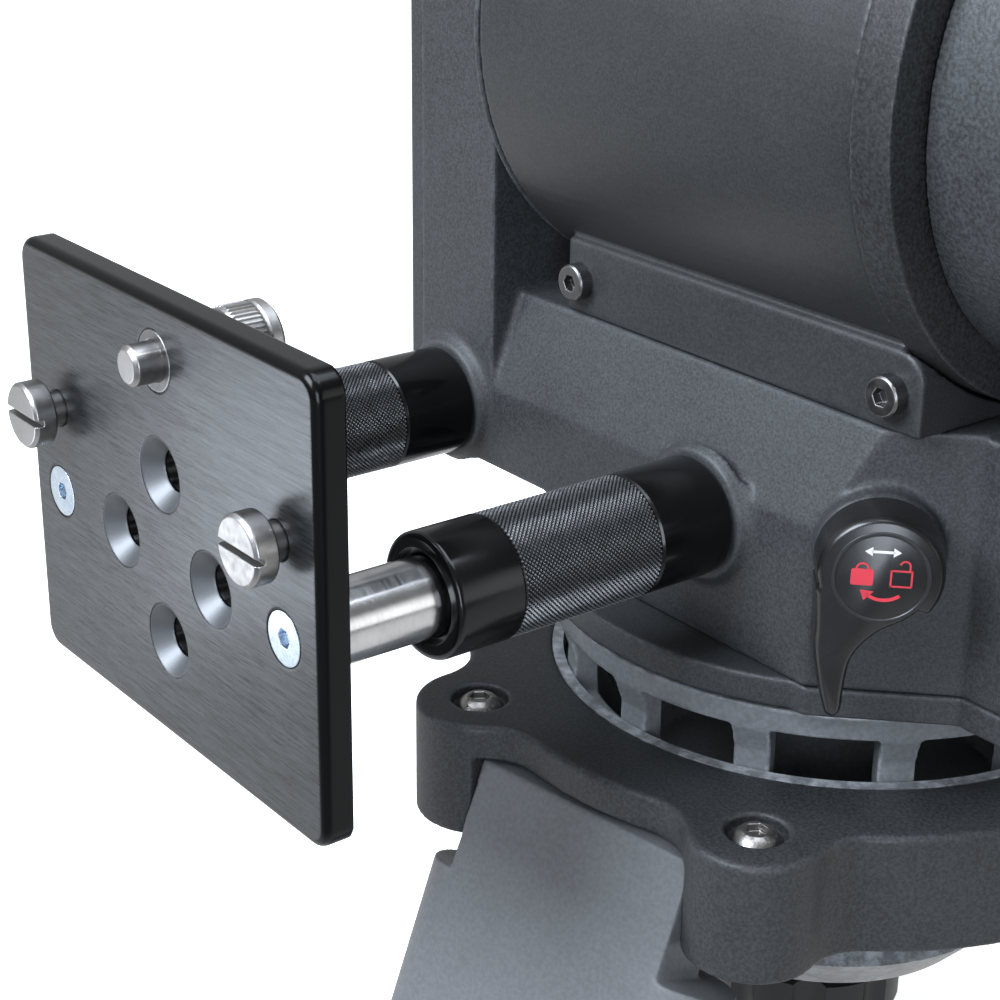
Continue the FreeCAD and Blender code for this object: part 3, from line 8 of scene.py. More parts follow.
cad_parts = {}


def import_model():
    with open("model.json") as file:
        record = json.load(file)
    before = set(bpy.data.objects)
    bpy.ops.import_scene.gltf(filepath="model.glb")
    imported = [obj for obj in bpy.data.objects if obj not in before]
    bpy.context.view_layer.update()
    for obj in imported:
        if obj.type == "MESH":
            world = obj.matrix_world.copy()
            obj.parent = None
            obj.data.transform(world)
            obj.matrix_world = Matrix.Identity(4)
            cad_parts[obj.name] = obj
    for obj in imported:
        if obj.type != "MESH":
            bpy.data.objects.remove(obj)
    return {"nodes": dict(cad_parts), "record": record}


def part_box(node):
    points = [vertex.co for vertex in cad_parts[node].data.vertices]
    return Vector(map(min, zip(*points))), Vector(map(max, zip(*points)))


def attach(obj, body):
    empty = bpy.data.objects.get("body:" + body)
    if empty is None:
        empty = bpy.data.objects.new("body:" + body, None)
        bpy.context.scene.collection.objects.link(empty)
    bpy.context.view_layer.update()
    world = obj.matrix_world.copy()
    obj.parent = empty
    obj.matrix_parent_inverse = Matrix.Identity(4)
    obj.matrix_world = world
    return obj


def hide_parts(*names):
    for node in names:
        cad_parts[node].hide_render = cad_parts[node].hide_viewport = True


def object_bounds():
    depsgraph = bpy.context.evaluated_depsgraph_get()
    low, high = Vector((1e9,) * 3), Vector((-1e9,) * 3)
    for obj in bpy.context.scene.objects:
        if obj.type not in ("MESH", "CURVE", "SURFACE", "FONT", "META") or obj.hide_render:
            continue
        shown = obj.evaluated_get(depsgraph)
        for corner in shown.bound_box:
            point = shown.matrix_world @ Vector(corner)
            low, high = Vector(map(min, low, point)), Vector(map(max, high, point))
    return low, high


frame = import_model()
cad_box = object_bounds()

MM = 0.001


def centre_of(node):
    low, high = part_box(node)
    return (low + high) / 2


PAN = centre_of("claw_ball")
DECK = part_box("crown_casting")[1].z


def at(x, y, z):
    """A point in metres from millimetres off the pan axis and the top of the crown."""
    return Vector((PAN.x + x * MM, PAN.y + y * MM, DECK + z * MM))


# ---------------------------------------------------------------- materials

class Shader:
    """A node material with short calls for the nodes that it needs."""

    def __init__(self, name, **values):
        self.material = bpy.data.materials.new(name)
        self.material.use_nodes = True
        self.tree = self.material.node_tree
        self.surface = self.tree.nodes["Principled BSDF"]
        for key, amount in values.items():
            self.surface.inputs[key.replace("_", " ")].default_value = amount
        self.coords = self.tree.nodes.new("ShaderNodeTexCoord").outputs["Object"]
        self.height = None

    def link(self, source, target):
        self.tree.links.new(source, target)

    def feed(self, name, source):
        self.link(source, self.surface.inputs[name])

    def mapped(self, stretch):
        node = self.tree.nodes.new("ShaderNodeMapping")
        node.inputs["Scale"].default_value = stretch
        self.link(self.coords, node.inputs["Vector"])
        return node.outputs["Vector"]

    def noise(self, scale, detail=3.0, rough=0.55, stretch=None):
        node = self.tree.nodes.new("ShaderNodeTexNoise")
        node.inputs["Scale"].default_value = scale
        node.inputs["Detail"].default_value = detail
        node.inputs["Roughness"].default_value = rough
        self.link(self.mapped(stretch) if stretch else self.coords, node.inputs["Vector"])
        return node.outputs["Fac"]

    def ramp(self, source, low, high, start=0.0, end=1.0):
        node = self.tree.nodes.new("ShaderNodeMapRange")
        node.inputs["From Min"].default_value = low
        node.inputs["From Max"].default_value = high
        node.inputs["To Min"].default_value = start
        node.inputs["To Max"].default_value = end
        self.link(source, node.inputs["Value"])
        return node.outputs["Result"]

    def math(self, kind, a, b):
        node = self.tree.nodes.new("ShaderNodeMath")
        node.operation = kind
        for socket, item in zip(node.inputs, (a, b)):
            if isinstance(item, (int, float)):
                socket.default_value = item
            else:
                self.link(item, socket)
        return node.outputs["Value"]

    def mix(self, factor, a, b):
        node = self.tree.nodes.new("ShaderNodeMix")
        node.data_type = "RGBA"
        self.link(factor, node.inputs["Factor"])
        for name, item in (("A", a), ("B", b)):
            socket = next(s for s in node.inputs if s.name == name and s.type == "RGBA")
            if isinstance(item, tuple):
                socket.default_value = (*item, 1.0)
            else:
                self.link(item, socket)
        return next(s for s in node.outputs if s.type == "RGBA")

    def part(self, source, axis):
        node = self.tree.nodes.new("ShaderNodeSeparateXYZ")
        self.link(source, node.inputs["Vector"])
        return node.outputs[axis]

    def geometry(self, name):
        return self.tree.nodes.new("ShaderNodeNewGeometry").outputs[name]

    def attribute(self, name):
        node = self.tree.nodes.new("ShaderNodeAttribute")
        node.attribute_name = name
        return node.outputs["Fac"]

    def bump(self, source, distance_mm, strength=1.0):
        node = self.tree.nodes.new("ShaderNodeBump")
        node.inputs["Distance"].default_value = distance_mm * MM
        node.inputs["Strength"].default_value = strength
        self.link(source, node.inputs["Height"])
        if self.height is not None:
            self.link(self.height, node.inputs["Normal"])
        self.height = node.outputs["Normal"]
        self.feed("Normal", self.height)


def grey(level, warm=0.0):
    return (level * (1.0 + warm), level, level * (1.0 - warm))


def powder_coat(name, dark, light, grain=1300.0, bump=0.05, rough=0.5, edge=0.0, blotch=0.25, painted_gap_shade=False):
    """Fine textured paint on a casting: grain, soft clouds, a rub along the edges, and, when asked, painted shade
    that turns the left-facing flank black to stand for the shade of a narrow gap.
    """
    s = Shader(name, Specular_IOR_Level=0.42)
    fine = s.noise(grain, 2.0, 0.6)
    coarse = s.noise(grain * 0.3, 2.0, 0.5)
    cloud = s.noise(26.0, 3.0, 0.6)
    tone = s.math("ADD", s.ramp(fine, 0.36, 0.64, 0.0, 1.0 - blotch), s.ramp(cloud, 0.3, 0.7, 0.0, blotch))
    colour = s.mix(tone, dark, light)
    if edge:
        rub = s.ramp(s.geometry("Pointiness"), 0.505, 0.56)
        worn = s.math("MULTIPLY", rub, s.ramp(s.noise(220.0, 4.0, 0.7), 0.42, 0.66, 0.0, edge))
        colour = s.mix(worn, colour, tuple(min(1.0, c * 3.2) for c in light))
    # Painted shade: faces turned towards -X are made black, standing in for the shade in the narrow gap between the
    # ring and the drum.
    if painted_gap_shade:
        colour = s.mix(s.ramp(s.part(s.geometry("Normal"), "X"), -0.55, -0.2), grey(0.003), colour)
    s.feed("Base Color", colour)
    s.feed("Roughness", s.ramp(cloud, 0.25, 0.75, rough - 0.06, rough + 0.08))
    s.bump(coarse, bump * 1.8, 0.55)
    s.bump(fine, bump, 0.7)
    return s.material


def metal(name, colour, rough, lines=None, line_bump=0.004, spread=0.08, tint=None):
    """Machined metal: lines is the stretch that turns noise into turning or brushing marks."""
    s = Shader(name, Metallic=1.0)
    marks = s.noise(1.0, 3.0, 0.6, lines or (900.0, 900.0, 900.0))
    smear = s.noise(120.0, 3.0, 0.6)
    s.feed("Base Color", s.mix(s.ramp(smear, 0.3, 0.7), tint or tuple(c * 0.82 for c in colour), colour))
    s.feed("Roughness", s.ramp(marks, 0.25, 0.75, rough - spread, rough + spread))
    s.bump(marks, line_bump)
    return s.material


def worn_metal(name, colour, bare, rough, low=0.5, high=0.58, strength=1.0):
    """Blackened steel with rims worn back to bright metal."""
    s = Shader(name, Metallic=1.0)
    rub = s.ramp(s.geometry("Pointiness"), low, high)
    broken = s.ramp(s.noise(900.0, 4.0, 0.7), 0.25, 0.6, 0.35, 1.0)
    worn = s.math("MULTIPLY", s.math("MULTIPLY", rub, broken), strength)
    s.feed("Base Color", s.mix(worn, colour, bare))
    s.feed("Roughness", s.ramp(s.noise(500.0), 0.3, 0.7, rough - 0.07, rough + 0.1))
    s.bump(s.noise(1800.0, 3.0), 0.006)
    return s.material


def gloss(name, colour, rough, bump=0.006, metallic=0.0, coat=0.0):
    s = Shader(name, Metallic=metallic, Coat_Weight=coat, Coat_Roughness=0.12)
    smear = s.noise(60.0, 4.0, 0.65)
    s.feed("Base Color", s.mix(s.ramp(smear, 0.3, 0.7), tuple(c * 0.75 for c in colour), colour))
    s.feed("Roughness", s.ramp(smear, 0.3, 0.7, rough - 0.04, rough + 0.07))
    s.bump(s.noise(700.0, 3.0), bump)
    return s.material


def plate_material():
    """Black anodised plate: brushed face, polished rounded edge, turned countersinks."""
    s = Shader("plate_anodised", Metallic=0.85)
    normal = s.geometry("Normal")
    facing = s.math("ABSOLUTE", s.part(normal, "Y"), 0.0)
    face = s.ramp(facing, 0.985, 0.999)
    brushing = s.noise(1.0, 4.0, 0.7, (170.0, 170.0, 5200.0))
    streak = s.noise(1.0, 2.0, 0.5, (90.0, 90.0, 2100.0))
    middle = centre_of("bracket_plate")
    offset = s.math("ABSOLUTE", s.math("SUBTRACT", s.part(s.coords, "X"), middle.x), 0.0)
    height = s.math("ABSOLUTE", s.math("SUBTRACT", s.part(s.coords, "Z"), middle.z), 0.0)
    inner = s.math("LESS_THAN", s.math("MAXIMUM", offset, height), 0.04)
    cone = s.math("MULTIPLY", inner, s.math("MULTIPLY", s.ramp(facing, 0.35, 0.45), s.ramp(facing, 0.95, 0.85)))
    lines = s.math("ADD", s.math("MULTIPLY", brushing, 0.7), s.math("MULTIPLY", streak, 0.3))
    brushed = s.mix(s.ramp(lines, 0.36, 0.64), grey(0.03, -0.03), grey(0.1, -0.04))
    plain = s.mix(face, grey(0.012), brushed)
    s.feed("Base Color", s.mix(cone, plain, grey(0.13, -0.04)))
    rough = s.math("ADD", s.ramp(face, 0.0, 1.0, 0.2, 0.3), s.math("MULTIPLY", cone, 0.28))
    s.feed("Roughness", s.math("ADD", rough, s.math("MULTIPLY", face, s.ramp(brushing, 0.3, 0.7, -0.07, 0.1))))
    s.bump(s.math("MULTIPLY", lines, face), 0.02, 0.5)
    return s.material


def knurl_material():
    s = Shader("collar_knurl", Metallic=0.7, Specular_IOR_Level=0.5)
    tip = s.math("MULTIPLY", s.attribute("tip"), s.ramp(s.noise(320.0, 3.0), 0.25, 0.75, 0.6, 1.0))
    s.feed("Base Color", s.mix(tip, grey(0.006), grey(0.22, -0.03)))
    s.feed("Roughness", s.ramp(s.noise(400.0), 0.3, 0.7, 0.22, 0.36))
    return s.material


def glass_material():
    s = Shader("vial_fluid", Transmission_Weight=0.6, IOR=1.45)
    s.feed("Base Color", s.mix(s.ramp(s.noise(90.0), 0.3, 0.7), (0.42, 0.62, 0.08), (0.55, 0.78, 0.12)))
    s.feed("Roughness", s.ramp(s.noise(300.0), 0.3, 0.7, 0.04, 0.1))
    return s.material


BODY = powder_coat("powder_charcoal", grey(0.016, -0.05), grey(0.046, -0.06), 1500.0, 0.08, 0.5, 0.35)
CYLINDER = powder_coat("powder_cylinder", grey(0.014, -0.03), grey(0.033, -0.04), 1700.0, 0.04, 0.44, 0.15)
RING = powder_coat("powder_ring", grey(0.008, -0.03), grey(0.034, -0.04), 1100.0, 0.12, 0.48, 0.3)
# The drum's left flank gets painted shade for the narrow, shaded gap beside the ring.
DRUM = powder_coat("powder_drum", grey(0.02, -0.05), grey(0.058, -0.06), 1100.0, 0.12, 0.48, 0.3, painted_gap_shade=True)
CROWN = powder_coat("powder_crown", grey(0.012, -0.05), grey(0.042, -0.06), 1200.0, 0.07, 0.5, 0.4)
LEG = powder_coat("paint_leg", grey(0.095, -0.03), grey(0.14, -0.04), 900.0, 0.02, 0.46, blotch=0.5)
CAGE = powder_coat("cage_anodised", grey(0.12, -0.04), grey(0.2, -0.05), 700.0, 0.01, 0.3, 0.5, 0.5)
PLATE = plate_material()
COLLAR = gloss("collar_gloss", grey(0.010), 0.16, 0.003, 0.5)
KNURL = knurl_material()
ROD = metal("rod_steel", grey(0.62), 0.2, (25.0, 3200.0, 25.0), 0.003)
STEEL = metal("ground_steel", grey(0.58), 0.2, (25.0, 25.0, 2600.0))
STAINLESS = worn_metal("turned_stainless", grey(0.27, 0.03), grey(0.56, 0.02), 0.36, 0.5, 0.6)
ZINC = metal("bright_zinc", (0.44, 0.52, 0.62), 0.26, (700.0, 700.0, 700.0), 0.006, 0.1, (0.55, 0.62, 0.68))
SOCKET = worn_metal("black_oxide", grey(0.13), grey(0.6, 0.04), 0.36)
CROWN_SCREW = worn_metal("dulled_stainless", grey(0.30, 0.05), grey(0.62, 0.05), 0.33)
LEVER = gloss("lever_black", grey(0.010), 0.24, 0.004)
BADGE = gloss("badge_black", grey(0.012), 0.34, 0.01)
RED = gloss("badge_red", (0.62, 0.035, 0.055), 0.4)
WHITE = gloss("badge_white", grey(0.8), 0.4)
CATCH = gloss("catch_red", (0.42, 0.02, 0.02), 0.35)
ANODISED = metal("anodised_black", grey(0.03), 0.36, (30.0, 2200.0, 2200.0), 0.006)
PLASTIC = powder_coat("moulded_black", grey(0.010), grey(0.016), 1200.0, 0.012, 0.38, blotch=0.5)
SPRING = metal("spring_steel", grey(0.5), 0.25)
VIAL = glass_material()

CAD_FINISH = {
    "leg_pins": STEEL, "bowl_insert": CAGE, "pan_spindle": STEEL, "tie_down_stud": STEEL, "tie_down_cup": CAGE,
    "tie_down_knob": PLASTIC, "pan_bearings": STEEL, "pan_drag_discs": STEEL, "tilt_bearings": STEEL,
    "tilt_drag_discs": STEEL, "counterbalance_spring": SPRING, "plunger_spring": SPRING, "tilt_axle": STEEL,
    "bracket_rod_right": ROD, "bracket_rod_left": ROD, "level_vial": VIAL,
}


# ---------------------------------------------------------------- meshes

def dressed(obj, name, material, body):
    obj.name = name
    obj.data.name = name
    obj.data.materials.clear()
    obj.data.materials.append(material)
    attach(obj, body)
    return obj


def body_and_slot(node):
    record = frame["record"]
    body = next(b for b, members in record["behaviour"]["bodies"].items() if node in members)
    slot = next(item["material_slot"] for item in record["subparts"] if item["node"] == node)
    return body, slot


def mesh_copy(*nodes):
    """The nodes' meshes as one new object, with their doubled vertices joined."""
    work = bmesh.new()
    for node in nodes:
        work.from_mesh(frame["nodes"][node].data)
    bmesh.ops.remove_doubles(work, verts=work.verts, dist=1e-6)
    mesh = bpy.data.meshes.new(nodes[0] + "_copy")
    work.to_mesh(mesh)
    work.free()
    obj = bpy.data.objects.new(nodes[0] + "_copy", mesh)
    bpy.context.scene.collection.objects.link(obj)
    return obj


def bake(obj):
    """Turn the object's modifiers into its mesh."""
    graph = bpy.context.evaluated_depsgraph_get()
    mesh = bpy.data.meshes.new_from_object(obj.evaluated_get(graph))
    obj.modifiers.clear()
    obj.data = mesh


def softened(nodes, material, voxel, rounds, suffix, factor=0.5):
    """The nodes' shape with every edge and inner corner rounded by about the voxel size in millimetres."""
    obj = mesh_copy(*nodes)
    remesh = obj.modifiers.new("voxels", "REMESH")
    remesh.mode = "VOXEL"
    remesh.voxel_size = voxel * MM
    remesh.use_smooth_shade = True
    soften = obj.modifiers.new("soften", "SMOOTH")
    soften.iterations = rounds
    soften.factor = factor
    bake(obj)
    body, slot = body_and_slot(nodes[0])
    dressed(obj, nodes[0] + suffix, material, body)
    obj.data.shade_smooth()
    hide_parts(*nodes)
    return obj


def new_mesh(name, points, faces, smooth=True):
    mesh = bpy.data.meshes.new(name)
    mesh.from_pydata([tuple(p) for p in points], [], faces)
    mesh.validate()
    mesh.update()
    obj = bpy.data.objects.new(name, mesh)
    bpy.context.scene.collection.objects.link(obj)
    if smooth:
        mesh.shade_smooth()
    return obj


def turned(name, profile, centre, axis, steps=128):
    """A closed profile of (radius, height) in millimetres, turned about an axis through a point."""
    turn = Vector((0, 0, 1)).rotation_difference(axis).to_matrix()
    points = []
    for step in range(steps):
        angle = 2 * math.pi * step / steps
        for radius, height in profile:
            local = Vector((radius * math.cos(angle), radius * math.sin(angle), height)) * MM
            points.append(centre + turn @ local)
    count = len(profile)
    faces = []
    for step in range(steps):
        following = (step + 1) % steps
        for index in range(count):
            ahead = (index + 1) % count
            faces.append((step * count + index, following * count + index, following * count + ahead,
                          step * count + ahead))
    return new_mesh(name, points, faces)


def rounded_profile(corners, radius, steps=5):
    """A closed profile with its corners rounded. A corner is (r, z) or (r, z, own radius)."""
    result = []
    for index, corner in enumerate(corners):
        here = Vector(corner[:2])
        before = Vector(corners[index - 1][:2])
        after = Vector(corners[(index + 1) % len(corners)][:2])
        size = corner[2] if len(corner) > 2 else radius
        size = min(size, (before - here).length * 0.49, (after - here).length * 0.49)
        if size <= 0:
            result.append(tuple(here))
            continue
        start = here + (before - here).normalized() * size
        end = here + (after - here).normalized() * size
        for step in range(steps + 1):
            t = step / steps
            result.append(tuple(start * (1 - t) ** 2 + here * 2 * t * (1 - t) + end * t ** 2))
    return result


def knurled_band(name, radius, start, end, centre, axis, count, depth):
    """Diamond knurling: staggered pyramids round a cylinder."""
    turn = Vector((0, 0, 1)).rotation_difference(axis).to_matrix()
    rows = 2 * round((end - start) / (2 * math.pi * radius / count) / 0.95)
    step = (end - start) / rows
    points = []
    tips = []

    def add(r, angle, height, tip):
        points.append(centre + turn @ (Vector((r * math.cos(angle), r * math.sin(angle), height)) * MM))
        tips.append(tip)
        return len(points) - 1

    def angle_at(row, column):
        return 2 * math.pi * (column + 0.5 * (row % 2)) / count

    grid = [[add(radius - depth, angle_at(row, column), start + row * step, 0.0) for column in range(count)]
            for row in range(rows + 1)]
    faces = []
    for row in range(rows - 1):
        for column in range(count):
            left = column if row % 2 else column - 1
            sides = [grid[row][column], grid[row + 1][(left + 1) % count], grid[row + 2][column],
                     grid[row + 1][left % count]]
            tip = add(radius, angle_at(row, column), start + (row + 1) * step, 1.0)
            faces += [(sides[i], sides[(i + 1) % 4], tip) for i in range(4)]
    for row, apex in ((0, 1), (rows, rows - 1)):
        for column in range(count):
            left = column if row % 2 else column - 1
            faces.append((grid[row][left % count], grid[row][(left + 1) % count],
                          grid[apex][(left + 1) % count if row % 2 == 0 else (left + 1) % count]))
    obj = new_mesh(name, points, faces, smooth=False)
    attribute = obj.data.attributes.new("tip", "FLOAT", "POINT")
    for index, amount in enumerate(tips[:len(obj.data.vertices)]):
        attribute.data[index].value = amount
    return obj


# ---------------------------------------------------------------- CAD nodes that keep their shape

for node, finish in CAD_FINISH.items():
    mesh = frame["nodes"][node].data
    mesh.materials.clear()
    mesh.materials.append(finish)
    mesh.shade_smooth()
    mesh.set_sharp_from_angle(angle=math.radians(30.0))


# ---------------------------------------------------------------- castings and machined pieces

for nodes, finish, voxel, rounds in (
        (("base_casting", "post_base_right", "post_base_left", "lever_bosses"), BODY, 0.8, 5),
        (("bottom_plate",), BODY, 0.7, 3), (("crown_casting",), CROWN, 0.6, 4),
        (("tilt_housing",), CYLINDER, 0.8, 3), (("drag_drum",), DRUM, 0.7, 2), (("side_cover",), BODY, 0.7, 3),
        (("claw_ball",), CAGE, 0.6, 3), (("leg_top_front",), LEG, 0.7, 2), (("leg_top_right",), LEG, 0.7, 2),
        (("leg_top_left",), LEG, 0.7, 2), (("left_cheek",), BODY, 0.6, 2), (("right_cheek",), RING, 0.5, 2)):
    softened(nodes, finish, voxel, rounds, "_cast")

for node, finish, voxel, rounds in (
        ("crown_screws", CROWN_SCREW, 0.16, 2), ("saddle_screws", SOCKET, 0.13, 3),
        ("platform_screws", SOCKET, 0.2, 2),
        ("side_cover_screws", STAINLESS, 0.18, 2), ("rod_screws", ZINC, 0.14, 2),
        ("thumb_screw_right", STAINLESS, 0.15, 3), ("thumb_screw_left", STAINLESS, 0.15, 3),
        ("plunger_pin", STAINLESS, 0.14, 3), ("plunger_bushing", SOCKET, 0.14, 2), ("platform", ANODISED, 0.6, 2),
        ("sliding_plate", ANODISED, 0.5, 2), ("camera_screw_front", STAINLESS, 0.2, 2),
        ("camera_screw_rear", STAINLESS, 0.2, 2), ("plate_clamp_lever", LEVER, 0.3, 4),
        ("plate_catch", CATCH, 0.15, 3),
        ("pan_drag_knob", PLASTIC, 0.35, 4), ("tilt_drag_knob", PLASTIC, 0.4, 4),
        ("counterbalance_crank", ANODISED, 0.35, 4), ("crank_grip", PLASTIC, 0.3, 4),
        ("level_housing", ANODISED, 0.25, 3), ("bracket_plate", PLATE, 0.35, 3)):
    softened((node,), finish, voxel, rounds, "_made")


# ---------------------------------------------------------------- lock collars

for side in ("right", "left"):
    node = "lock_collar_" + side
    low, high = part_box(node)
    middle = (low + high) / 2
    axis = Vector((0, -1, 0))
    length = (high.y - low.y) / MM
    outer = (high.x - low.x) / 2 / MM
    half = length / 2
    knurl_front = half - 18.5
    knurl_back = half - 59.0
    body, slot = body_and_slot(node)
    sleeve = turned(node + "_sleeve", rounded_profile([
        (12.45, -half, 0.3), (outer, -half, 1.2), (outer, knurl_back - 0.6, 0.1), (outer - 0.5, knurl_back, 0.1),
        (outer - 0.5, knurl_front, 0.1), (outer, knurl_front + 0.6, 0.1), (outer, half, 1.6), (11.2, half, 0.5),
        (11.2, half - 0.9, 0.2), (9.75, half - 1.4, 0.2), (9.75, half - 50, 0.2), (12.45, half - 50, 0.2)],
        0.2), middle, axis, 160)
    sleeve.data.set_sharp_from_angle(angle=math.radians(50.0))
    dressed(sleeve, node + "_sleeve", COLLAR, body)
    band = knurled_band(node + "_knurl", outer, knurl_back, knurl_front, middle, axis, 76, 0.5)
    dressed(band, node + "_knurl", KNURL, body)
    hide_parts(node)


# ---------------------------------------------------------------- plunger knob

def ribbed(name, profile, centre, axis, ribs, depth):
    """A turned piece. Profile items are (radius, height, 1 where it has ribs or 0)."""
    turn = Vector((0, 0, 1)).rotation_difference(axis).to_matrix()
    steps = ribs * 4
    points = []
    for step in range(steps):
        angle = 2 * math.pi * step / steps
        sunk = depth if step % 4 in (2, 3) else 0.0
        for radius, height, rib in profile:
            r = radius - sunk * rib
            points.append(centre + turn @ (Vector((r * math.cos(angle), r * math.sin(angle), height)) * MM))
    count = len(profile)
    faces = [(step * count + index, (step + 1) % steps * count + index,
              (step + 1) % steps * count + (index + 1) % count, step * count + (index + 1) % count)
             for step in range(steps) for index in range(count)]
    return new_mesh(name, points, faces, smooth=False)


def plunger_knob():
    low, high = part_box("plunger_knob")
    middle = (low + high) / 2
    outer = (high.x - low.x) / 2 / MM
    half = (high.y - low.y) / 2 / MM
    body, slot = body_and_slot("plunger_knob")
    knob = ribbed("plunger_knob_made", [
        (0.02, -half, 0), (outer - 1.6, -half, 0), (outer - 0.9, -half + 0.3, 0), (outer - 0.5, -half + 0.8, 0),
        (outer, -half + 1.2, 1), (outer, half - 4.6, 1), (outer - 0.5, half - 4.2, 0),
        (outer - 0.6, half - 3.6, 0),
        (outer, half - 3.2, 0), (outer, half - 0.8, 0), (outer - 0.7, half, 0), (2.5, half, 0)],
        middle, Vector((0, 1, 0)), 46, 0.45)
    dressed(knob, "plunger_knob_made", STAINLESS, body)
    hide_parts("plunger_knob")


plunger_knob()


# ---------------------------------------------------------------- lock levers

def inset(outline, amount):
    """A closed outline of (x, y), anticlockwise, moved inwards."""
    count = len(outline)
    moved = []
    for index in range(count):
        here = Vector(outline[index])
        before = (here - Vector(outline[index - 1])).normalized()
        after = (Vector(outline[(index + 1) % count]) - here).normalized()
        along = (before + after).normalized()
        moved.append(tuple(here + Vector((-along.y, along.x)) * amount))
    return moved


def blend_line(points, steps=8):
    """A smooth open curve through points of (x, y)."""
    result = []
    for index in range(len(points) - 1):
        p = [Vector(points[max(index - 1, 0)]), Vector(points[index]), Vector(points[index + 1]),
             Vector(points[min(index + 2, len(points) - 1)])]
        for step in range(steps):
            t = step / steps
            result.append(tuple(0.5 * (2 * p[1] + (p[2] - p[0]) * t + (2 * p[0] - 5 * p[1] + 4 * p[2] - p[3]) * t ** 2
                                       + (3 * p[1] - 3 * p[2] + p[3] - p[0]) * t ** 3)))
    return result + [tuple(points[-1])]


def facet_axes(centre):
    """Along, up and out of the facet that a lever sits on."""
    outward = Vector((1, -1, 0) if centre.y < PAN.y else (1, 1, 0)).normalized()
    return Vector((0, 0, 1)).cross(outward).normalized(), Vector((0, 0, 1)), outward


def lock_lever(node, badge_node):
    """A drop-shaped lever with a drafted side and a rounded front edge."""
    body, slot = body_and_slot(node)
    face = centre_of(badge_node)
    across, upward, outward = facet_axes(face)
    low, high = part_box(badge_node)
    badge_radius = (high.z - low.z) / 2 / MM
    hub = badge_radius + 2.1
    tail = blend_line([(-hub + 0.1, -4.4), (-12.7, -13.6), (-12.6, -20.0), (-11.0, -29.2), (-9.7, -34.2)])
    tip = arc(-8.65, -34.2, 1.05, 190, 350, 8)
    hook = blend_line([(-7.5, -33.6), (-7.3, -29.2), (-6.4, -22.1), (-4.0, -17.2), (0.3, -12.9), (5.2, -10.1),
                       (8.9, -7.0)])
    head = arc(0, 0, hub, -36, 200, 60)
    outline = tail[:-1] + tip + hook[1:-1] + head[:-1]
    levels = [(0.0, -1.7), (0.9, -1.6), (8.6, -1.05), (9.6, -0.85), (10.3, -0.5), (10.75, -0.1), (11.0, 0.35)]
    back = face - outward * 10.6 * MM
    points = []
    for height, amount in levels:
        points += [back + (across * x + upward * y + outward * height) * MM for x, y in inset(outline, amount)]
    count = len(outline)
    faces = [tuple(range(count - 1, -1, -1)), tuple(range((len(levels) - 1) * count, len(levels) * count))]
    faces += [(row * count + i, row * count + (i + 1) % count, (row + 1) * count + (i + 1) % count,
               (row + 1) * count + i) for row in range(len(levels) - 1) for i in range(count)]
    lever = new_mesh(node + "_blade", points, faces)
    lever.data.set_sharp_from_angle(angle=math.radians(40.0))
    dressed(lever, node + "_blade", LEVER, body)
    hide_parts(node)


# ---------------------------------------------------------------- lever badges

def shape(name, outline, centre, across, upward, outward, lift=0.0, thick=0.12):
    """A flat sign: an outline of (x, y) in millimetres, raised off a face."""
    count = len(outline)
    points = [centre + (across * x + upward * y + outward * (lift + level)) * MM
              for level in (0.0, thick) for x, y in outline]
    faces = [tuple(range(count - 1, -1, -1)), tuple(range(count, 2 * count))]
    faces += [(i, (i + 1) % count, count + (i + 1) % count, count + i) for i in range(count)]
    return new_mesh(name, points, faces, smooth=False)


def stroke(path, width):
    """The outline of a line of that width along a path of (x, y)."""
    points = [Vector(p) for p in path]
    left, right = [], []
    for index, point in enumerate(points):
        before = points[max(index - 1, 0)]
        after = points[min(index + 1, len(points) - 1)]
        along = (after - before).normalized()
        across = Vector((-along.y, along.x)) * width / 2
        left.append(tuple(point + across))
        right.append(tuple(point - across))
    return left + right[::-1]


def arc(x, y, radius, start, end, steps=20):
    return [(x + radius * math.cos(math.radians(start + (end - start) * i / steps)),
             y + radius * math.sin(math.radians(start + (end - start) * i / steps))) for i in range(steps + 1)]


def round_box(x, y, half_width, half_height, radius):
    corners = ((1, 1, 0), (-1, 1, 90), (-1, -1, 180), (1, -1, 270))
    return [p for sx, sy, turn in corners
            for p in arc(x + sx * (half_width - radius), y + sy * (half_height - radius), radius,
                         turn, turn + 90, 5)]


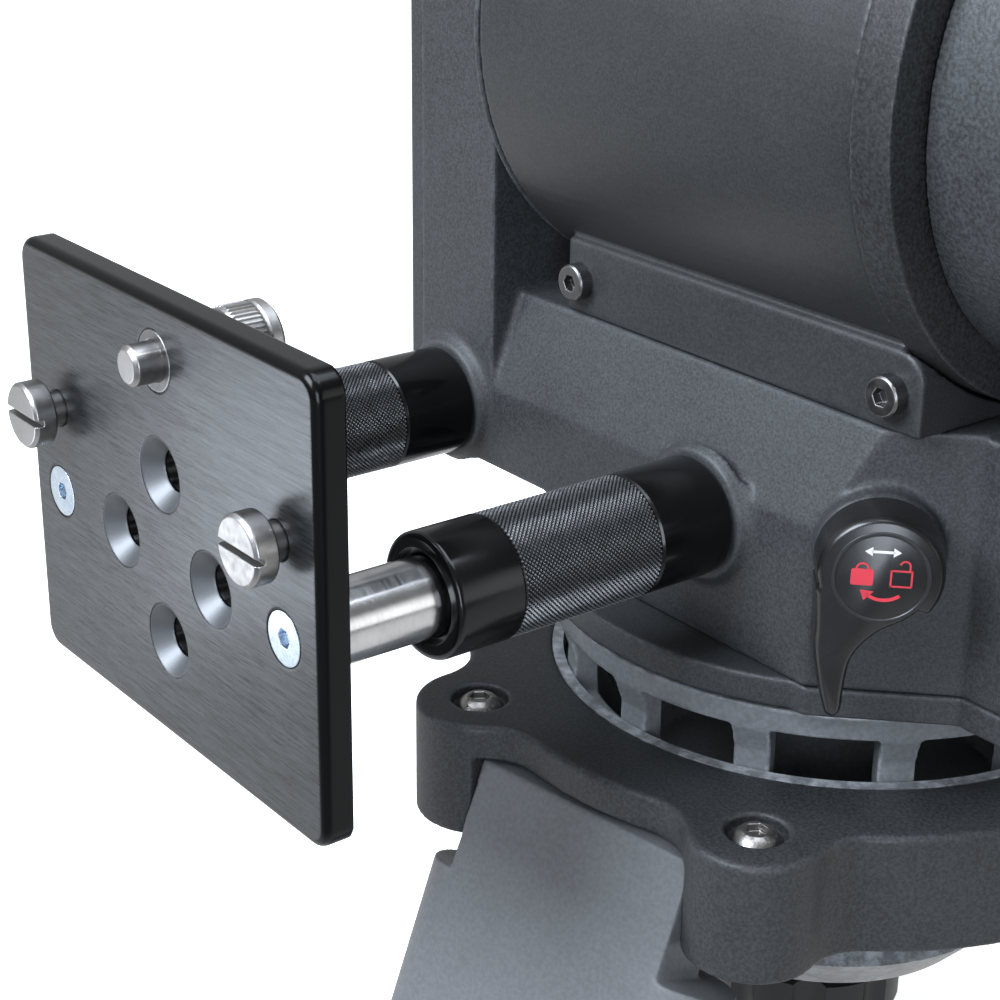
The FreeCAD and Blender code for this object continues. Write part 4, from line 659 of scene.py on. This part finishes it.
def badge(node, upright_arrow):
    """A black label disc with a closed lock, an open lock, a curved arrow and the moving direction."""
    body, slot = body_and_slot(node)
    low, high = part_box(node)
    centre = (low + high) / 2
    across, upward, outward = facet_axes(centre)
    face = centre + outward * 0.62 * MM
    size = (high.z - low.z) / 2 / MM
    disc = turned(node + "_disc", rounded_profile([
        (0.02, -0.8, 0), (size, -0.8, 0.1), (size, 0.0, 0.25), (size - 0.9, 0.0, 0.1), (size - 1.1, -0.25, 0.1),
        (0.02, -0.25, 0)], 0.1), face, outward, 96)
    disc.data.set_sharp_from_angle(angle=math.radians(40.0))
    dressed(disc, node + "_disc", BADGE, body)
    signs = [
        ("lock_body", RED, round_box(-4.3, 0.0, 2.5, 2.0, 0.5)),
        ("lock_bow", RED, stroke(arc(-4.3, 2.0, 1.35, 0, 180), 0.42)),
        ("open_bow", RED, stroke([(6.2, 2.0)] + arc(5.1, 3.2, 1.1, -10, 170), 0.42)),
        ("open_top", RED, stroke([(1.9, 1.9), (6.9, 1.9)], 0.42)),
        ("open_base", RED, stroke([(1.9, -1.9), (6.9, -1.9)], 0.42)),
        ("open_left", RED, stroke([(2.1, -2.1), (2.1, 2.1)], 0.42)),
        ("open_right", RED, stroke([(6.7, -2.1), (6.7, 2.1)], 0.42)),
        ("turn_line", RED, stroke(arc(0.6, 0.6, 6.0, 232, 308), 0.8)),
        ("turn_head", RED, [(-4.6, -3.1), (-1.5, -3.4), (-3.6, -5.7)]),
    ]
    if upright_arrow:
        signs += [("move_line", WHITE, stroke([(0, 4.9), (0, 8.1)], 0.6)),
                  ("move_head_a", WHITE, [(-1.1, 7.9), (1.1, 7.9), (0, 9.4)]),
                  ("move_head_b", WHITE, [(1.1, 5.1), (-1.1, 5.1), (0, 3.6)])]
    else:
        signs += [("move_line", WHITE, stroke([(-2.6, 6.3), (2.6, 6.3)], 0.6)),
                  ("move_head_a", WHITE, [(2.3, 5.2), (4.0, 6.3), (2.3, 7.4)]),
                  ("move_head_b", WHITE, [(-2.3, 7.4), (-4.0, 6.3), (-2.3, 5.2)])]
    for label, finish, outline in signs:
        sign = shape(node + "_" + label, outline, face, across, upward, outward, -0.26, 0.12)
        dressed(sign, node + "_" + label, finish, body)
    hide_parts(node)


lock_lever("pan_lock_lever", "pan_lever_badge")
lock_lever("tilt_lock_lever", "tilt_lever_badge")
badge("pan_lever_badge", False)
badge("tilt_lever_badge", True)


# ---------------------------------------------------------------- floor, light and camera

def floor():
    low, high = cad_box
    half = 6.0
    obj = new_mesh("floor", [(-half, -half, low.z - 0.0005), (half, -half, low.z - 0.0005),
                             (half, half, low.z - 0.0005), (-half, half, low.z - 0.0005)], [(0, 1, 2, 3)], False)
    s = Shader("floor_pale", Roughness=0.8)
    seen = s.tree.nodes.new("ShaderNodeLightPath").outputs["Is Camera Ray"]
    s.feed("Base Color", s.mix(seen, grey(0.1), s.mix(s.noise(3.0), grey(0.84), grey(0.88))))
    s.surface.inputs["Emission Color"].default_value = (1, 1, 1, 1)
    light_path = s.tree.nodes.new("ShaderNodeLightPath")
    right = s.math("MULTIPLY", s.part(s.coords, "X"), 0.6)
    ahead = s.math("MULTIPLY", s.part(s.coords, "Y"), -0.8)
    away = s.math("ADD", right, ahead)
    # Painted reflection: a patch of the floor glows only for reflection rays, so the rods and collars mirror a bright
    # sheet that lights nothing else.
    glossy_only_glow = s.math("MULTIPLY", light_path.outputs["Is Glossy Ray"], s.ramp(away, 0.34, 0.2, 0.0, 0.75))
    s.feed("Emission Strength", s.math("ADD", s.ramp(seen, 0.0, 1.0, 0.0, 0.8), glossy_only_glow))
    obj.data.materials.append(s.material)


def world():
    """White to the camera, and for the light a soft room that is brighter up and to the left."""
    made = bpy.data.worlds.new("studio")
    bpy.context.scene.world = made
    made.use_nodes = True
    nodes = made.node_tree.nodes
    links = made.node_tree.links
    background = nodes["Background"]
    seen = nodes.new("ShaderNodeLightPath").outputs["Is Camera Ray"]
    lean = nodes.new("ShaderNodeVectorMath")
    lean.operation = "DOT_PRODUCT"
    lean.inputs[1].default_value = (-0.55, -0.1, 0.8)
    links.new(nodes.new("ShaderNodeTexCoord").outputs["Generated"], lean.inputs[0])
    room = nodes.new("ShaderNodeMapRange")
    room.inputs["From Min"].default_value = -0.5
    room.inputs["From Max"].default_value = 0.9
    room.inputs["To Min"].default_value = 0.03
    room.inputs["To Max"].default_value = 0.55
    links.new(lean.outputs["Value"], room.inputs["Value"])
    behind = nodes.new("ShaderNodeVectorMath")
    behind.operation = "DOT_PRODUCT"
    behind.inputs[1].default_value = (0.76, 0.63, -0.12)
    links.new(lean.inputs[0].links[0].from_socket, behind.inputs[0])
    backdrop = nodes.new("ShaderNodeMapRange")
    backdrop.inputs["From Min"].default_value = 0.8
    backdrop.inputs["From Max"].default_value = 0.93
    backdrop.inputs["To Max"].default_value = 1.9
    links.new(behind.outputs["Value"], backdrop.inputs["Value"])
    total = nodes.new("ShaderNodeMath")
    links.new(room.outputs["Result"], total.inputs[0])
    links.new(backdrop.outputs["Result"], total.inputs[1])
    strength = nodes.new("ShaderNodeMix")
    links.new(seen, strength.inputs["Factor"])
    links.new(total.outputs["Value"], strength.inputs["A"])
    strength.inputs["B"].default_value = 1.05
    links.new(strength.outputs["Result"], background.inputs["Strength"])
    background.inputs["Color"].default_value = (0.97, 0.99, 1.0, 1)


def softbox(name, place, target, width, height, power, colour=(1.0, 1.0, 1.0)):
    data = bpy.data.lights.new(name, "AREA")
    data.shape = "RECTANGLE"
    data.size = width
    data.size_y = height
    data.energy = power
    data.color = colour
    obj = bpy.data.objects.new(name, data)
    bpy.context.scene.collection.objects.link(obj)
    obj.location = place
    obj.rotation_mode = "QUATERNION"
    obj.rotation_quaternion = (target - place).to_track_quat("-Z", "Y")
    obj.visible_camera = False


def camera():
    """The viewpoint that the photograph was taken from, off the pan axis and the crown."""
    azimuth, elevation, roll = (math.radians(a) for a in (52.32, 22.34, 0.653))
    back = Vector((math.sin(azimuth) * math.cos(elevation), -math.cos(azimuth) * math.cos(elevation),
                   math.sin(elevation)))
    right = (-back).cross(Vector((0, 0, 1))).normalized()
    up = right.cross(-back)
    down = -up
    turned_right = right * math.cos(roll) - down * math.sin(roll)
    turned_down = right * math.sin(roll) + down * math.cos(roll)
    data = bpy.data.cameras.new("camera")
    data.sensor_width = 36.0
    data.lens = 75.75
    data.clip_start = 0.01
    data.clip_end = 50.0
    obj = bpy.data.objects.new("camera", data)
    bpy.context.scene.collection.objects.link(obj)
    pose = Matrix((turned_right, -turned_down, back)).transposed().to_4x4()
    pose.translation = at(360.7, -396.2, 259.9)
    obj.matrix_world = pose
    bpy.context.scene.camera = obj


floor()
world()
heart = at(0, -40, 90)
COOL = (0.88, 0.96, 1.08)
softbox("key", heart + Vector((-0.3, -1.45, 1.3)), heart, 1.2, 1.2, 82.0, COOL)
softbox("top", heart + Vector((0.2, 0.3, 1.6)), heart, 1.2, 1.2, 26.0, COOL)
softbox("side", heart + Vector((1.2, -1.0, 0.2)), heart, 0.6, 0.9, 14.0, COOL)
plate = centre_of("bracket_plate")
softbox("plate", plate + Vector((-0.1, -0.12, -0.045)), plate + Vector((0.03, 0.0, 0.01)), 0.09, 0.09, 0.09, COOL)
camera()
bpy.context.scene.view_settings.view_transform = "Standard"
bpy.context.scene.view_settings.look = "None"
